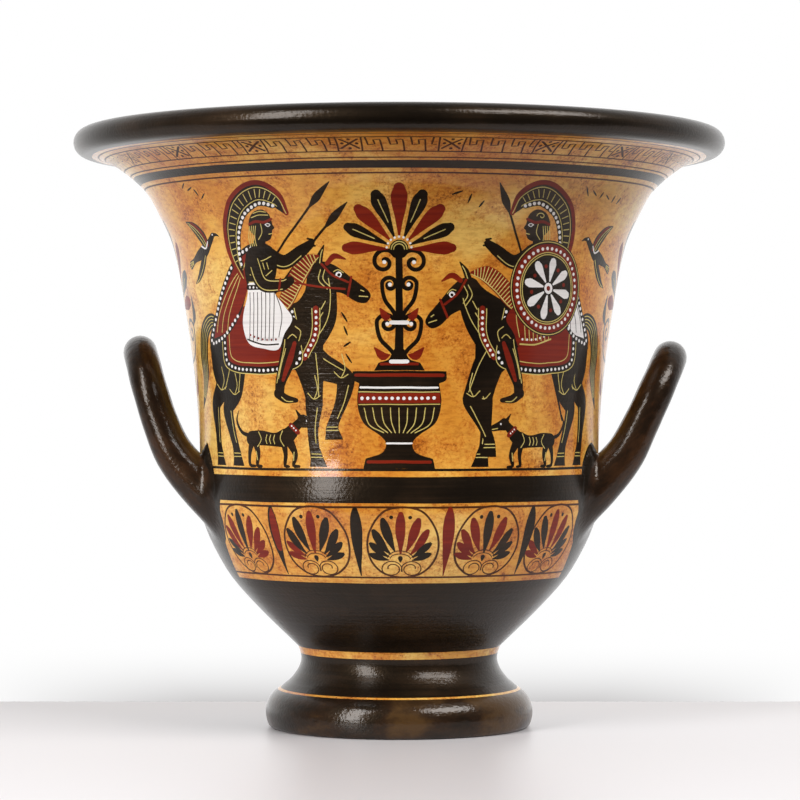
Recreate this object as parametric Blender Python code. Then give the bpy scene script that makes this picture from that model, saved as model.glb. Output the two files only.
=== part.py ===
# Bell krater, a fired clay mixing bowl with two upturned loop handles, hollow and open at the top.
# The body is turned on the wheel, the foot is hollowed from below, and the handles are rolled bars.
# Sizes are in millimetres and turned to metres where a mesh is made. +Z is up, the vessel stands on z = 0.

import math

import bmesh
import bpy
from mathutils import Vector

MM = 0.001

# Driving sizes of the turned body
LIP_RADIUS = 150.0
LIP_ROLL = 6.0
HEIGHT = 274.5
WALL = 7.0
SEGMENTS = 48
ROW_STEP = 11.0
INNER_ROW_STEP = 14.85
FINE_STEPS = 60

# Heights at which the glaze changes colour, so that each colour edge is a row of the mesh
LIP_GLAZE_EDGE = 262.4
GROUND_LINE = 117.5
MIDDLE_BAND_FOOT = 105.0
LOWER_GLAZE_TOP = 70.3
STEM_TOP = 37.5
STEM_LINE_FOOT = 34.3
HANDLE_PANEL_DEGREES = 28.0

# The bell, as (height, radius) where its curve turns, from the stem up to the underside of the lip
BELL = (
    (STEM_TOP, 46.8), (54.6, 64.3), (69.4, 77.4), (84.3, 86.1), (96.0, 90.8), (106.0, 93.2),
    (124.0, 92.0), (160.0, 94.3), (201.0, 100.1), (222.0, 104.6), (235.7, 110.7),
    (247.0, 117.3), (257.4, 129.4), (261.6, 137.6),
)

# The stem between bowl and foot, as (height, radius)
STEM = ((STEM_TOP, 46.8), (STEM_LINE_FOOT, 45.7), (31.0, 45.3), (26.8, 46.7), (21.4, 50.8), (17.6, 55.7))

# The foot is a bulging ring: an ellipse cut off by the table
FOOT_CENTRE = (6.8, 51.1)
FOOT_HALF_HEIGHT = 12.0
FOOT_BULGE = 10.6
FOOT_EDGE_ROUND = 0.8
FOOT_ROWS = (14.0, 10.4, 6.8, 3.2, FOOT_EDGE_ROUND)

# The hollow under the foot, as (height, radius)
FOOT_HOLLOW = ((0.0, 47.0), (4.0, 44.6), (16.0, 39.0), (26.0, 36.5), (33.5, 31.5), (38.0, 18.0))
FLOOR_UNDERSIDE = 38.5
FLOOR_TOP = 46.8
FLOOR_ROUND_RADIUS = 30.0
FLOOR_ROUND_RISE = 0.7
INNER_FLOOR_HEIGHT = 51.0

# Handles: the side line of each loop as (height, reach from the axis), then the loop's own sizes
LEG_LINE = ((87.0, 44.0), (91.0, 58.0), (97.0, 72.0), (104.0, 83.4), (111.5, 91.8))
LEFT_LINE = LEG_LINE + ((125.3, 103.6), (139.3, 110.0), (156.0, 115.4), (172.8, 119.9))
RIGHT_LINE = LEG_LINE + ((125.3, 104.0), (139.3, 111.5), (156.0, 119.2), (170.4, 125.4))
HANDLE_ROOT_SPREAD = 29.5
HANDLE_ROOT_HEIGHT = 84.0
LOOP_RADIUS = 24.0
HANDLE_ASKEW = 2.0
HANDLE_SIDES = 12
LOOP_STEPS = 10
LEG_STEP = 7.0

# The bar's radius along its height, thickest where it joins the wall
BAR_RADII = (
    (84.0, 11.4), (98.0, 11.0), (111.5, 10.2), (125.0, 9.0), (139.0, 8.1), (156.0, 7.8), (173.0, 7.7),
)
ROOT_DEPTH = 3.5
ROOT_CORE_FOOT = 45.0
ROOT_CORE_TOP = 150.0

# The pad of clay pressed onto the wall above each handle root, pointed on the left and rounder on the right
PAD_FADE_FOOT = 94.0
PAD_FADE_TOP = 108.0
PAD_FOOT = 111.0
PAD_TIP = 131.5
PAD_HALF_WIDTH = 11.4
PAD_TIP_HALF_WIDTH = 0.6
PAD_THICKNESS = 2.8
PAD_FLATNESS = 2.6
PAD_TIP_SLOPE = 3.0
PAD_TIP_CURVE = 0.7
PAD_EDGE_SUNK = 0.4
PAD_FADE_ROWS = 3
PAD_ROWS = 6
PAD_COLUMNS = 8
PAD_SPREAD = 31.0

# How full each side's pads are and how blunt they end: half width = (1 - rise ** fullness) ** bluntness
PAD_OUTLINES = {"left": (1.3, 0.76), "right": (1.9, 0.6)}


def clear_scene():
    for thing in list(bpy.data.objects):
        bpy.data.objects.remove(thing, do_unlink=True)


def fired_clay(name, colour, roughness):
    """A glazed or bare clay colour as a Principled material."""
    material = bpy.data.materials.new(name)
    material.use_nodes = True
    shader = material.node_tree.nodes["Principled BSDF"]
    shader.inputs["Base Color"].default_value = (*colour, 1.0)
    shader.inputs["Roughness"].default_value = roughness
    shader.inputs["Metallic"].default_value = 0.0
    return material


def curve_at(points, place):
    """The smooth curve through (place, value) points, read at one place."""
    places = [point[0] for point in points]
    values = [point[1] for point in points]
    rising = places[-1] > places[0]
    span = 0
    while span < len(points) - 2 and (place > places[span + 1]) == rising:
        span += 1
    slopes = []
    for index in (span, span + 1):
        before = max(index - 1, 0)
        after = min(index + 1, len(points) - 1)
        slopes.append((values[after] - values[before]) / (places[after] - places[before]))
    width = places[span + 1] - places[span]
    t = (place - places[span]) / width
    first = (1 + 2 * t) * (1 - t) ** 2 * values[span] + t * (1 - t) ** 2 * width * slopes[0]
    second = t * t * (3 - 2 * t) * values[span + 1] + t * t * (t - 1) * width * slopes[1]
    return first + second


def even_heights(line, start, end, step):
    """Heights from start on towards end, about a step apart along a (height, reach) line."""
    fine = [start + (end - start) * part / FINE_STEPS for part in range(FINE_STEPS + 1)]
    lengths = [0.0]
    for before, after in zip(fine, fine[1:]):
        run = curve_at(line, after) - curve_at(line, before)
        lengths.append(lengths[-1] + math.hypot(after - before, run))
    rows = max(1, round(lengths[-1] / step))
    heights = []
    for row in range(rows):
        target = lengths[-1] * row / rows
        nearest = min(range(FINE_STEPS + 1), key=lambda place: abs(lengths[place] - target))
        heights.append(fine[nearest])
    return heights


def bell_heights(top, bottom, step):
    """Heights down the bell, with a row at every colour edge and an even step between them."""
    edges = [top, LIP_GLAZE_EDGE, GROUND_LINE, MIDDLE_BAND_FOOT, LOWER_GLAZE_TOP, bottom]
    edges = sorted({edge for edge in edges if bottom <= edge <= top}, reverse=True)
    heights = []
    for high, low in zip(edges, edges[1:]):
        heights += even_heights(BELL, high, low, step)
    heights.append(bottom)
    return heights


def bell_normal(height):
    """The outward normal of the bell in its section, as (radial, vertical)."""
    small = 0.5
    rise = 2 * small
    run = curve_at(BELL, height + small) - curve_at(BELL, height - small)
    length = math.hypot(rise, run)
    return rise / length, -run / length


def outer_profile():
    """The outside from the top of the lip down to the table, as (radius, height)."""
    profile = []
    for degrees in (90, 60, 30, 0, -30, -60, -90):
        angle = math.radians(degrees)
        radius = LIP_RADIUS - LIP_ROLL + LIP_ROLL * math.cos(angle)
        profile.append((radius, HEIGHT - LIP_ROLL + LIP_ROLL * math.sin(angle)))
    for height in bell_heights(BELL[-1][0], STEM_TOP, ROW_STEP):
        profile.append((curve_at(BELL, height), height))
    for height, radius in STEM[1:]:
        profile.append((radius, height))
    centre_height, centre_radius = FOOT_CENTRE
    for height in FOOT_ROWS:
        part = math.sqrt(1 - ((height - centre_height) / FOOT_HALF_HEIGHT) ** 2)
        profile.append((centre_radius + FOOT_BULGE * part, height))
    profile.append((profile[-1][0] - FOOT_EDGE_ROUND, 0.0))
    return profile


def inner_profile():
    """The inside from the floor at the axis up to the lip, one wall thickness in from the bell."""
    profile = [(0.0, FLOOR_TOP), (FLOOR_ROUND_RADIUS, FLOOR_TOP + FLOOR_ROUND_RISE)]
    heights = bell_heights(BELL[-1][0], INNER_FLOOR_HEIGHT, INNER_ROW_STEP)
    for height in reversed(heights):
        radial, vertical = bell_normal(height)
        profile.append((curve_at(BELL, height) - WALL * radial, height - WALL * vertical))
    return profile


def foot_hollow_profile():
    """The hollow under the foot, from the resting ring up to the axis."""
    profile = [(radius, height) for height, radius in FOOT_HOLLOW]
    profile.append((0.0, FLOOR_UNDERSIDE))
    return profile


def shows_clay(height, degrees):
    """Whether the outside is pale, and not glazed dark, at a height and a turn from the right handle."""
    picture = GROUND_LINE < height < LIP_GLAZE_EDGE
    under_handle = abs(math.cos(math.radians(degrees))) > math.cos(math.radians(HANDLE_PANEL_DEGREES))
    palmettes = LOWER_GLAZE_TOP < height < MIDDLE_BAND_FOOT and not under_handle
    stem_line = STEM_LINE_FOOT < height < STEM_TOP
    return picture or palmettes or stem_line


def turned_vessel(name, materials):
    """The whole vessel without handles: one closed outline turned about the axis."""
    hollow = foot_hollow_profile()
    outside = outer_profile()
    inside = inner_profile()
    profile = hollow[::-1] + outside[::-1] + inside[::-1]
    outside_first = len(hollow)
    outside_last = outside_first + len(outside) - 1
    mesh_builder = bmesh.new()
    rows = []
    for radius, height in profile:
        if radius == 0.0:
            rows.append([mesh_builder.verts.new((0.0, 0.0, height * MM))])
            continue
        row = []
        for step in range(SEGMENTS):
            angle = 2 * math.pi * step / SEGMENTS
            spot = (radius * math.cos(angle) * MM, radius * math.sin(angle) * MM, height * MM)
            row.append(mesh_builder.verts.new(spot))
        rows.append(row)
    for index, (lower, upper) in enumerate(zip(rows, rows[1:])):
        on_outside = outside_first <= index < outside_last
        middle_height = (profile[index][1] + profile[index + 1][1]) / 2
        for step in range(SEGMENTS):
            after = (step + 1) % SEGMENTS
            corners = [lower[step % len(lower)], lower[after % len(lower)]]
            corners += [upper[after % len(upper)], upper[step % len(upper)]]
            face = mesh_builder.faces.new(list(dict.fromkeys(corners)))
            pale = on_outside and shows_clay(middle_height, 360 * (step + 0.5) / SEGMENTS)
            face.material_index = 1 if pale else 0
    return finished_object(name, mesh_builder, materials)


def finished_object(name, mesh_builder, materials):
    bmesh.ops.recalc_face_normals(mesh_builder, faces=mesh_builder.faces[:])
    mesh = bpy.data.meshes.new(name)
    mesh_builder.to_mesh(mesh)
    mesh_builder.free()
    mesh.shade_smooth()
    mesh.set_sharp_from_angle(angle=math.radians(40))
    for material in materials:
        mesh.materials.append(material)
    thing = bpy.data.objects.new(name, mesh)
    bpy.context.scene.collection.objects.link(thing)
    return thing


def handle_path(line, side):
    """The middle line of one loop handle, from its front root over the top to its back root."""
    shoulder = line[-1][0] - LOOP_RADIUS
    front_leg = []
    for height in even_heights(line, line[0][0], shoulder, LEG_STEP):
        part = (height - HANDLE_ROOT_HEIGHT) / (shoulder - HANDLE_ROOT_HEIGHT)
        front_leg.append((-HANDLE_ROOT_SPREAD + (HANDLE_ROOT_SPREAD - LOOP_RADIUS) * part, height))
    loop = []
    for step in range(LOOP_STEPS + 1):
        angle = math.pi * step / LOOP_STEPS
        loop.append((-LOOP_RADIUS * math.cos(angle), shoulder + LOOP_RADIUS * math.sin(angle)))
    back_leg = [(-across, height) for across, height in reversed(front_leg)]
    path = []
    for across, height in front_leg + loop + back_leg:
        reach = curve_at(line, height) + HANDLE_ASKEW * across / HANDLE_ROOT_SPREAD
        path.append(Vector((side * reach, across, height)))
    return path


def close_tube(mesh_builder, rings):
    """Skins a row of rings into a closed tube with an end face at each end."""
    for lower, upper in zip(rings, rings[1:]):
        for step in range(len(lower)):
            after = (step + 1) % len(lower)
            mesh_builder.faces.new((lower[step], lower[after], upper[after], upper[step]))
    mesh_builder.faces.new(rings[0])
    mesh_builder.faces.new(rings[-1])


def root_core():
    """The space inside the wall that a handle's ends must not reach into."""
    mesh_builder = bmesh.new()
    rings = []
    heights = bell_heights(ROOT_CORE_TOP, ROOT_CORE_FOOT, ROW_STEP)
    for height in heights:
        ring = []
        for step in range(SEGMENTS):
            angle = 2 * math.pi * step / SEGMENTS
            reach = curve_at(BELL, height) - ROOT_DEPTH
            spot = Vector((reach * math.cos(angle), reach * math.sin(angle), height))
            ring.append(mesh_builder.verts.new(spot * MM))
        rings.append(ring)
    close_tube(mesh_builder, rings)
    core = finished_object("root_core", mesh_builder, ())
    core.hide_render = True
    core.display_type = "WIRE"
    return core


def handle(name, line, side, core, materials):
    """A round bar bent into a loop, both ends cut off inside the wall."""
    path = handle_path(line, side)
    mesh_builder = bmesh.new()
    rings = []
    for index, centre in enumerate(path):
        before = path[max(index - 1, 0)]
        after = path[min(index + 1, len(path) - 1)]
        along = (after - before).normalized()
        outward = Vector((side, 0.0, 0.0)) - along * along.x * side
        outward.normalize()
        sideways = along.cross(outward)
        radius = curve_at(BAR_RADII, centre.z)
        ring = []
        for step in range(HANDLE_SIDES):
            angle = 2 * math.pi * step / HANDLE_SIDES
            ring.append(centre + (outward * math.cos(angle) + sideways * math.sin(angle)) * radius)
        rings.append([mesh_builder.verts.new(spot * MM) for spot in ring])
    close_tube(mesh_builder, rings)
    bar = finished_object(name, mesh_builder, materials)
    trim = bar.modifiers.new("ends cut inside the wall", "BOOLEAN")
    trim.operation = "DIFFERENCE"
    trim.solver = "EXACT"
    trim.object = core
    return bar


def pad_rows(outline):
    """The pad's rows from its foot up, as (height, half width, thickness)."""
    fullness, bluntness = outline
    rows = []
    for row in range(PAD_FADE_ROWS + 1):
        share = row / PAD_FADE_ROWS
        height = PAD_FADE_FOOT + (PAD_FADE_TOP - PAD_FADE_FOOT) * share
        rows.append((height, PAD_HALF_WIDTH, PAD_THICKNESS * share * share * (3 - 2 * share)))
    for row in range(PAD_ROWS + 1):
        rise = math.sin(math.pi / 2 * row / PAD_ROWS)
        height = PAD_FOOT + (PAD_TIP - PAD_FOOT) * rise
        half_width = max(PAD_TIP_HALF_WIDTH, PAD_HALF_WIDTH * (1 - rise ** fullness) ** bluntness)
        thinning = min(1.0, PAD_TIP_SLOPE * (1 - rise)) ** PAD_TIP_CURVE
        rows.append((height, half_width, PAD_THICKNESS * thinning))
    return rows


def root_pad(name, outline, side, front, materials):
    """A slightly domed pad that narrows upwards, its back and edges sunk into the wall."""
    middle_angle = math.asin(PAD_SPREAD / curve_at(BELL, PAD_FOOT))
    mesh_builder = bmesh.new()
    layers = []
    for sunk in (False, True):
        rows = []
        for height, half_width, thickness in pad_rows(outline):
            radius = curve_at(BELL, height)
            spots = []
            for column in range(PAD_COLUMNS + 1):
                across = 2 * column / PAD_COLUMNS - 1
                dome = thickness * (1 - abs(across) ** PAD_FLATNESS)
                depth = -ROOT_DEPTH if sunk else dome - PAD_EDGE_SUNK
                angle = middle_angle + across * half_width / radius
                reach = radius + depth
                spot = Vector((side * reach * math.cos(angle), front * reach * math.sin(angle), height))
                spots.append(mesh_builder.verts.new(spot * MM))
            rows.append(spots)
        layers.append(rows)
    outer, inner = layers
    last_row = len(outer) - 1
    for row in range(last_row):
        for column in range(PAD_COLUMNS):
            for rows in (outer, inner):
                mesh_builder.faces.new((rows[row][column], rows[row][column + 1],
                                        rows[row + 1][column + 1], rows[row + 1][column]))
        for column in (0, PAD_COLUMNS):
            mesh_builder.faces.new((outer[row][column], outer[row + 1][column],
                                    inner[row + 1][column], inner[row][column]))
    for row in (0, last_row):
        for column in range(PAD_COLUMNS):
            mesh_builder.faces.new((outer[row][column], outer[row][column + 1],
                                    inner[row][column + 1], inner[row][column]))
    return finished_object(name, mesh_builder, materials)


def join_on(vessel, addition):
    """Fuses a piece of clay to the vessel."""
    addition.hide_render = True
    addition.display_type = "WIRE"
    union = vessel.modifiers.new("fused " + addition.name, "BOOLEAN")
    union.operation = "UNION"
    union.solver = "EXACT"
    union.object = addition


clear_scene()
dark_glaze = fired_clay("dark iron glaze", (0.024, 0.018, 0.014), 0.32)
pale_clay = fired_clay("ochre slip", (0.72, 0.36, 0.08), 0.42)
clays = (dark_glaze, pale_clay)
core = root_core()
krater = turned_vessel("krater", clays)
join_on(krater, handle("left_handle", LEFT_LINE, -1, core, clays))
join_on(krater, handle("right_handle", RIGHT_LINE, 1, core, clays))
for side_name, side_sign in (("left", -1), ("right", 1)):
    for end_name, end_sign in (("front", -1), ("back", 1)):
        pad_name = f"{side_name}_{end_name}_pad"
        join_on(krater, root_pad(pad_name, PAD_OUTLINES[side_name], side_sign, end_sign, clays))
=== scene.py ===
import math

import bpy
import numpy as np
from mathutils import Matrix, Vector, noise
from mathutils.geometry import delaunay_2d_cdt


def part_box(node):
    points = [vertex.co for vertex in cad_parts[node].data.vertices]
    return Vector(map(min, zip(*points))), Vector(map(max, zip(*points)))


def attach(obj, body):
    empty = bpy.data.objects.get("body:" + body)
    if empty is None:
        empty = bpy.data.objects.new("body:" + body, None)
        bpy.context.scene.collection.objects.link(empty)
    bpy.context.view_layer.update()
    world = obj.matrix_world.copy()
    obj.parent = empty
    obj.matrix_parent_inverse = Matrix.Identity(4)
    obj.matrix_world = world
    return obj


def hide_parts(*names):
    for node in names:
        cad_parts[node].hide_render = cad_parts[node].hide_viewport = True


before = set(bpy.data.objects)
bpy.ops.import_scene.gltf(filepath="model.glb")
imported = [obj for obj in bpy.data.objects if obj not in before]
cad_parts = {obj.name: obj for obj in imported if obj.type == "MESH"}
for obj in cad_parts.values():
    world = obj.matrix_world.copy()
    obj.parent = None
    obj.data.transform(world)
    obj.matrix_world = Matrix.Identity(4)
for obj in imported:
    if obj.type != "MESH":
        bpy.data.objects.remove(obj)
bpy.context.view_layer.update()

# The turned body
# A bell krater of red clay, thrown on the wheel in one go from foot ring to rolled lip and fired.
# Its wall is about 7 mm thick, the foot is hollowed from below, and the bowl is glazed dark inside.
MM = 0.001
AROUND = 180
WALL = 7.0
krater_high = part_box("krater")[1]
LIP_RADIUS = krater_high.x / MM
HEIGHT = krater_high.z / MM
LIP_ROLL = 6.0
LIP_CENTRE = (LIP_RADIUS - LIP_ROLL, HEIGHT - LIP_ROLL)
LIP_INSIDE = ((LIP_CENTRE[0] - 1.5, HEIGHT - 0.2), (139.6, 272.6), (135.4, 269.2))
LIP_GLAZE_ENDS = (LIP_CENTRE[0] - 5.0, HEIGHT - 2.5)
BELL_POINTS = (
    (46.8, 37.5), (64.3, 54.6), (77.4, 69.4), (86.1, 84.3), (90.8, 96.0), (93.2, 106.0), (92.0, 124.0),
    (94.3, 160.0), (100.1, 201.0), (104.6, 222.0), (110.7, 235.7), (117.3, 247.0), (129.4, 257.4),
    (137.6, 261.6), (LIP_CENTRE[0], LIP_CENTRE[1] - LIP_ROLL),
)
WALL_TOP = 259.9
INNER_RINGS = np.r_[np.linspace(251.0, 215.0, 12), np.linspace(207.0, 9.0, 22)]
FLOOR_POINTS = ((42.0, 49.4), (24.0, 47.1), (4.0, 46.8))
STEM_RING_FOOT = 34.3
RESTING_RING = (59.0, 0.6)
RESTING_POINTS = ((59.6, 0.25), (58.8, 0.0), (52.0, 0.0), (48.0, 0.0))
STEM_POINTS = ((45.7, STEM_RING_FOOT), (45.3, 31.0), (46.7, 26.8), (50.2, 22.0), (53.6, 19.2))
FOOT_CENTRE = (51.1, 6.8)
FOOT_BULGE = 10.6
FOOT_HALF_HEIGHT = 12.0
FOOT_LINE = (17.3, 18.3)
HOLLOW_EDGE = 46.0
FOOT_HOLLOW = ((47.0, 0.0), (44.6, 4.0), (39.0, 16.0), (36.5, 26.0), (31.5, 33.5), (18.0, 38.0), (4.0, 38.5))
DARK, OCHRE, BURGUNDY, WHITE, INCISED, BROWN_LINE, INNER, CLAY, BAR, FOOT = range(10)
MAP_ROWS = (
    ("painted_wall", OCHRE, 330), ("painted_wall", DARK, 180), ("painted_wall", BURGUNDY, 60),
    ("painted_wall", WHITE, 45), ("painted_wall", INCISED, 45), ("painted_wall", BROWN_LINE, 40),
    ("lip_and_inside", DARK, 60), ("lip_and_inside", INNER, 70), ("stem_and_foot", DARK, 40),
    ("stem_and_foot", OCHRE, 16), ("stem_and_foot", FOOT, 40), ("stem_and_foot", CLAY, 24),
    ("left_handle", BAR, 42), ("right_handle", BAR, 42),
)
MAP_GAP = 6
MAP_HEIGHT = sum(height + MAP_GAP for _, _, height in MAP_ROWS)
MAP_MARGIN = 0.006
SPECK = 0.2e-6
SPECKS_AMONG = 60


def curve_between(t, span, start, end, leaving, landing):
    """Points at shares t of a curve between two ends, which it leaves and reaches in given directions."""
    return ((1 + 2 * t) * (1 - t) ** 2 * start + t * (1 - t) ** 2 * span * leaving
            + t * t * (3 - 2 * t) * end + t * t * (t - 1) * span * landing)


def smooth_path(points, step, closed=False):
    """A smooth curve through the points, read about every step. A doubled point is a corner."""
    knots = np.array(points, float)
    count = len(knots)

    def slope(index):
        before = knots[(index - 1) % count] if closed else knots[max(index - 1, 0)]
        after = knots[(index + 1) % count] if closed else knots[min(index + 1, count - 1)]
        here = knots[index % count]
        return (after - before) / (math.dist(after[:2], here[:2]) + math.dist(here[:2], before[:2]))

    read = []
    for index in range(count if closed else count - 1):
        start, end = knots[index], knots[(index + 1) % count]
        chord = math.dist(start[:2], end[:2])
        if chord < 1e-6:
            continue
        steps = max(1, math.ceil(chord / step))
        t = np.arange(steps)[:, None] / steps
        read.append(curve_between(t, chord, start, end, slope(index), slope(index + 1)))
    if not closed:
        read.append(knots[-1:])
    return np.vstack(read)


def arc(centre, radii, start, end, steps):
    """Points on an ellipse between two angles in degrees."""
    angles = np.radians(np.linspace(start, end, steps + 1))
    return np.stack([centre[0] + radii[0] * np.cos(angles), centre[1] + radii[1] * np.sin(angles)], 1)


def lengths_along(points):
    """How far each point is along the line through them."""
    return np.r_[0.0, np.cumsum(np.linalg.norm(np.diff(points, axis=0), axis=1))]


bell = smooth_path(BELL_POINTS, 0.4)
bell_lengths = lengths_along(bell)


def bell_at(length):
    """Radius and height of the outer wall at a length along it, measured up from the stem."""
    return np.interp(length, bell_lengths, bell[:, 0]), np.interp(length, bell_lengths, bell[:, 1])


def bell_normal(length):
    """The wall's outward direction in its section, as (radial, vertical)."""
    reach, rise = np.subtract(bell_at(length + 0.6), bell_at(length - 0.6))
    size = np.hypot(reach, rise)
    return rise / size, -reach / size


def read_all(items, name, kind=np.float32, width=1):
    """A property of all of a mesh's points, corners or faces, as one array."""
    values = np.zeros(len(items) * width, kind)
    items.foreach_get(name, values)
    return values


def map_part(mesh, spots):
    """Lays a part out on the texture map, each colour in a row of its own so that none blurs into another.

    spots gives each point's share of the way round and of the way along. Two specks of each colour are
    stretched under its whole row, so that a line thinner than a pixel still lies on its own colour."""
    starts, sizes, worn = (read_all(mesh.polygons, name, np.int32)
                           for name in ("loop_start", "loop_total", "material_index"))
    areas = read_all(mesh.polygons, "area")
    places = spots[read_all(mesh.loops, "vertex_index", np.int32)]
    places -= np.round(places - np.repeat(places[starts], sizes, axis=0))
    places[:, 0] = MAP_MARGIN + (1 - 2 * MAP_MARGIN) * places[:, 0]
    low = MAP_GAP / 2
    for part, colour, height in MAP_ROWS:
        if part == mesh.name:
            chosen = np.repeat(worn == colour, sizes)
            along = places[chosen, 1]
            places[chosen, 1] = (low + (along - along.min()) / np.ptp(along) * height) / MAP_HEIGHT
            foot, head = (low - MAP_GAP / 2) / MAP_HEIGHT, (low + height + MAP_GAP / 2) / MAP_HEIGHT
            rim = ((0, foot), (1, foot), (1, head), (0, head), (0, foot))
            first = np.flatnonzero(worn == colour)[:SPECKS_AMONG]
            for half, speck in enumerate(first[np.argsort(areas[first])[:2]]):
                if areas[speck] < SPECK:
                    places[starts[speck]:starts[speck] + 3] = rim[2 * half:2 * half + 3]
        low += height + MAP_GAP
    mesh.uv_layers.new(name="OFBake").data.foreach_set("uv", places.astype(np.float32).ravel())


def turned(name, profile, colours):
    """Turns a profile of (radius, height) points into a skin closed at the axis, ring after ring."""
    bpy.ops.object.select_all(action="DESELECT")
    radius, height = profile[0] * MM
    bpy.ops.mesh.primitive_circle_add(vertices=AROUND, radius=radius, location=(0, 0, height), calc_uvs=False)
    skin = bpy.context.object
    skin.name = skin.data.name = name
    bpy.ops.object.transform_apply(location=True)
    bpy.ops.object.mode_set(mode="EDIT")
    bpy.ops.mesh.select_all(action="SELECT")
    for (radius, height), (next_radius, next_height) in zip(profile, profile[1:]):
        rise = (0, 0, (next_height - height) * MM)
        bpy.ops.mesh.extrude_region_move(TRANSFORM_OT_translate={"value": rise})
        bpy.ops.transform.resize(value=(next_radius / radius, next_radius / radius, 1.0))
    bpy.ops.mesh.extrude_region_move(TRANSFORM_OT_translate={"value": (0, 0, 0)})
    bpy.ops.mesh.merge(type="CENTER")
    bpy.ops.object.mode_set(mode="OBJECT")
    for face in skin.data.polygons:
        face.material_index = colours(math.hypot(face.center.x, face.center.y) / MM, face.center.z / MM)
    spots = np.array([point.co for point in skin.data.vertices]) / MM
    ring = np.hypot(spots[:, 0], spots[:, 1])
    shares = np.arctan2(spots[:, 0], -spots[:, 1]) / (2 * math.pi) % 1.0
    nearest = np.hypot(ring[:, None] - profile[:, 0], spots[:, 2:] - profile[:, 1]).argmin(1)
    pole = ring < 0.1
    map_part(skin.data, np.stack([np.where(pole, 0.5, shares), (nearest + pole) / len(profile)], 1))
    return skin


inside = np.subtract(bell_at(INNER_RINGS), WALL * np.array(bell_normal(INNER_RINGS))).T
upper_profile = np.vstack([
    np.stack(bell_at(np.linspace(WALL_TOP, bell_lengths[-1] - 0.4, 2)), 1),
    arc(LIP_CENTRE, (LIP_ROLL, LIP_ROLL), -90, 90, 16),
    smooth_path((*LIP_INSIDE, inside[0]), 2.2)[:-1],
    inside,
    smooth_path((inside[-1], *FLOOR_POINTS), 7.0)[1:],
])
lower_profile = np.vstack([
    smooth_path((BELL_POINTS[0],) + STEM_POINTS, 1.6)[:-1],
    arc(FOOT_CENTRE, (FOOT_BULGE, FOOT_HALF_HEIGHT), 70, -28, 24),
    RESTING_POINTS,
    smooth_path(FOOT_HOLLOW, 5.0),
])


def upper_colour(radius, height):
    """The lip is glazed like the outside, and the bowl in the inner glaze."""
    return INNER if radius < LIP_GLAZE_ENDS[0] and height < LIP_GLAZE_ENDS[1] else DARK


def lower_colour(radius, height):
    """Bare clay below, ochre at the stem's top and on the foot's line, dark glaze on the rest."""
    if radius < RESTING_RING[0] and height < RESTING_RING[1] or radius < HOLLOW_EDGE - height * 0.2:
        return CLAY
    if height > STEM_RING_FOOT or FOOT_LINE[0] < height < FOOT_LINE[1]:
        return OCHRE
    return DARK if height > FOOT_LINE[1] else FOOT


upper = turned("lip_and_inside", upper_profile, upper_colour)
lower = turned("stem_and_foot", lower_profile, lower_colour)

# The painted wall
# The outside between stem and lip, coated with ochre slip and painted with a brush before the last varnish.
# Paint has no height of its own: each painted shape is cut into the skin and takes its own colour there.
FLAT_RADIUS = 95.0
TURN = 2 * math.pi * FLAT_RADIUS
SEAM = -TURN / 4
COLUMN = TURN / AROUND
PICTURE_FOOT = 99.4
PICTURE_TOP = 229.4
GLAZE_BANDS = ((258.9, WALL_TOP), (232.4, 237.0), (84.4, 95.9), (0.0, 45.5))
GLAZE_LINES = ((98.3, PICTURE_FOOT, DARK), (PICTURE_TOP, 230.25, BROWN_LINE), (238.2, 238.9, BROWN_LINE),
               (242.0, 242.7, BROWN_LINE), (252.2, 253.0, BROWN_LINE), (255.5, 256.3, BROWN_LINE),
               (82.15, 83.1, BROWN_LINE), (48.3, 49.25, BROWN_LINE))
PAD_ANGLE = 19.4
PAD_HALF_WIDTH = 11.4
PAD_FOOT = 111.0
PAD_TIP = 131.5
PAD_THICKNESS = 2.8
PAD_REACH = 92.5
PAD_FADE = (94.0, 108.0)
UNSTEADY = 0.22
SLOW_WAVE = 9.0
QUICK_WAVE = 1.7
painted = []
noise.seed_set(11)


def step_up(value, low, high):
    """Rises smoothly from 0 at low to 1 at high."""
    t = np.clip((value - low) / (high - low), 0, 1)
    return t * t * (3 - 2 * t)


def pad_rise(angle, height):
    """How far the four root pads stand proud of the wall, at an angle in degrees from the front."""
    from_side = np.abs((angle + 180.0) % 180.0 - 90.0)
    rise = np.clip((height - PAD_FOOT) / (PAD_TIP - PAD_FOOT), 0, 1)
    half = pad_half_width(rise, np.sin(np.radians(angle)) < 0)
    across = np.radians(from_side - PAD_ANGLE) * PAD_REACH / half
    dome = np.clip(1 - np.abs(across) ** 2.6, 0, 1) * np.minimum(1.0, 3.0 * (1 - rise)) ** 0.7
    return PAD_THICKNESS * dome * step_up(height, *PAD_FADE)


def pad_half_width(rise, on_left):
    """Half the pad's width at a share of its height. The left pads are pointed, the right ones rounder."""
    pointed = np.clip(1 - rise ** 1.3, 1e-4, 1) ** 0.76
    rounded = np.clip(1 - rise ** 1.9, 1e-4, 1) ** 0.6
    return PAD_HALF_WIDTH * np.where(on_left, pointed, rounded)


def unit(vectors):
    """The same directions, each of them one long."""
    return vectors / np.maximum(np.linalg.norm(vectors, axis=-1, keepdims=True), 1e-9)


def wall_points(across, length):
    """Points of the wall, in metres, from places on the flat drawing, in millimetres."""
    radius, height = bell_at(length)
    out, up = bell_normal(length)
    angle = across / FLAT_RADIUS
    proud = pad_rise(np.degrees(angle), height)
    reach = radius + proud * out
    return np.stack([reach * np.sin(angle), -reach * np.cos(angle), height + proud * up], 1) * MM


def wall_normals(across, length):
    """The wall's outward directions at places on the flat drawing."""
    small = 0.25
    along = wall_points(across + small, length) - wall_points(across - small, length)
    rising = wall_points(across, length + small) - wall_points(across, length - small)
    return unit(np.cross(along, rising))


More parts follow.
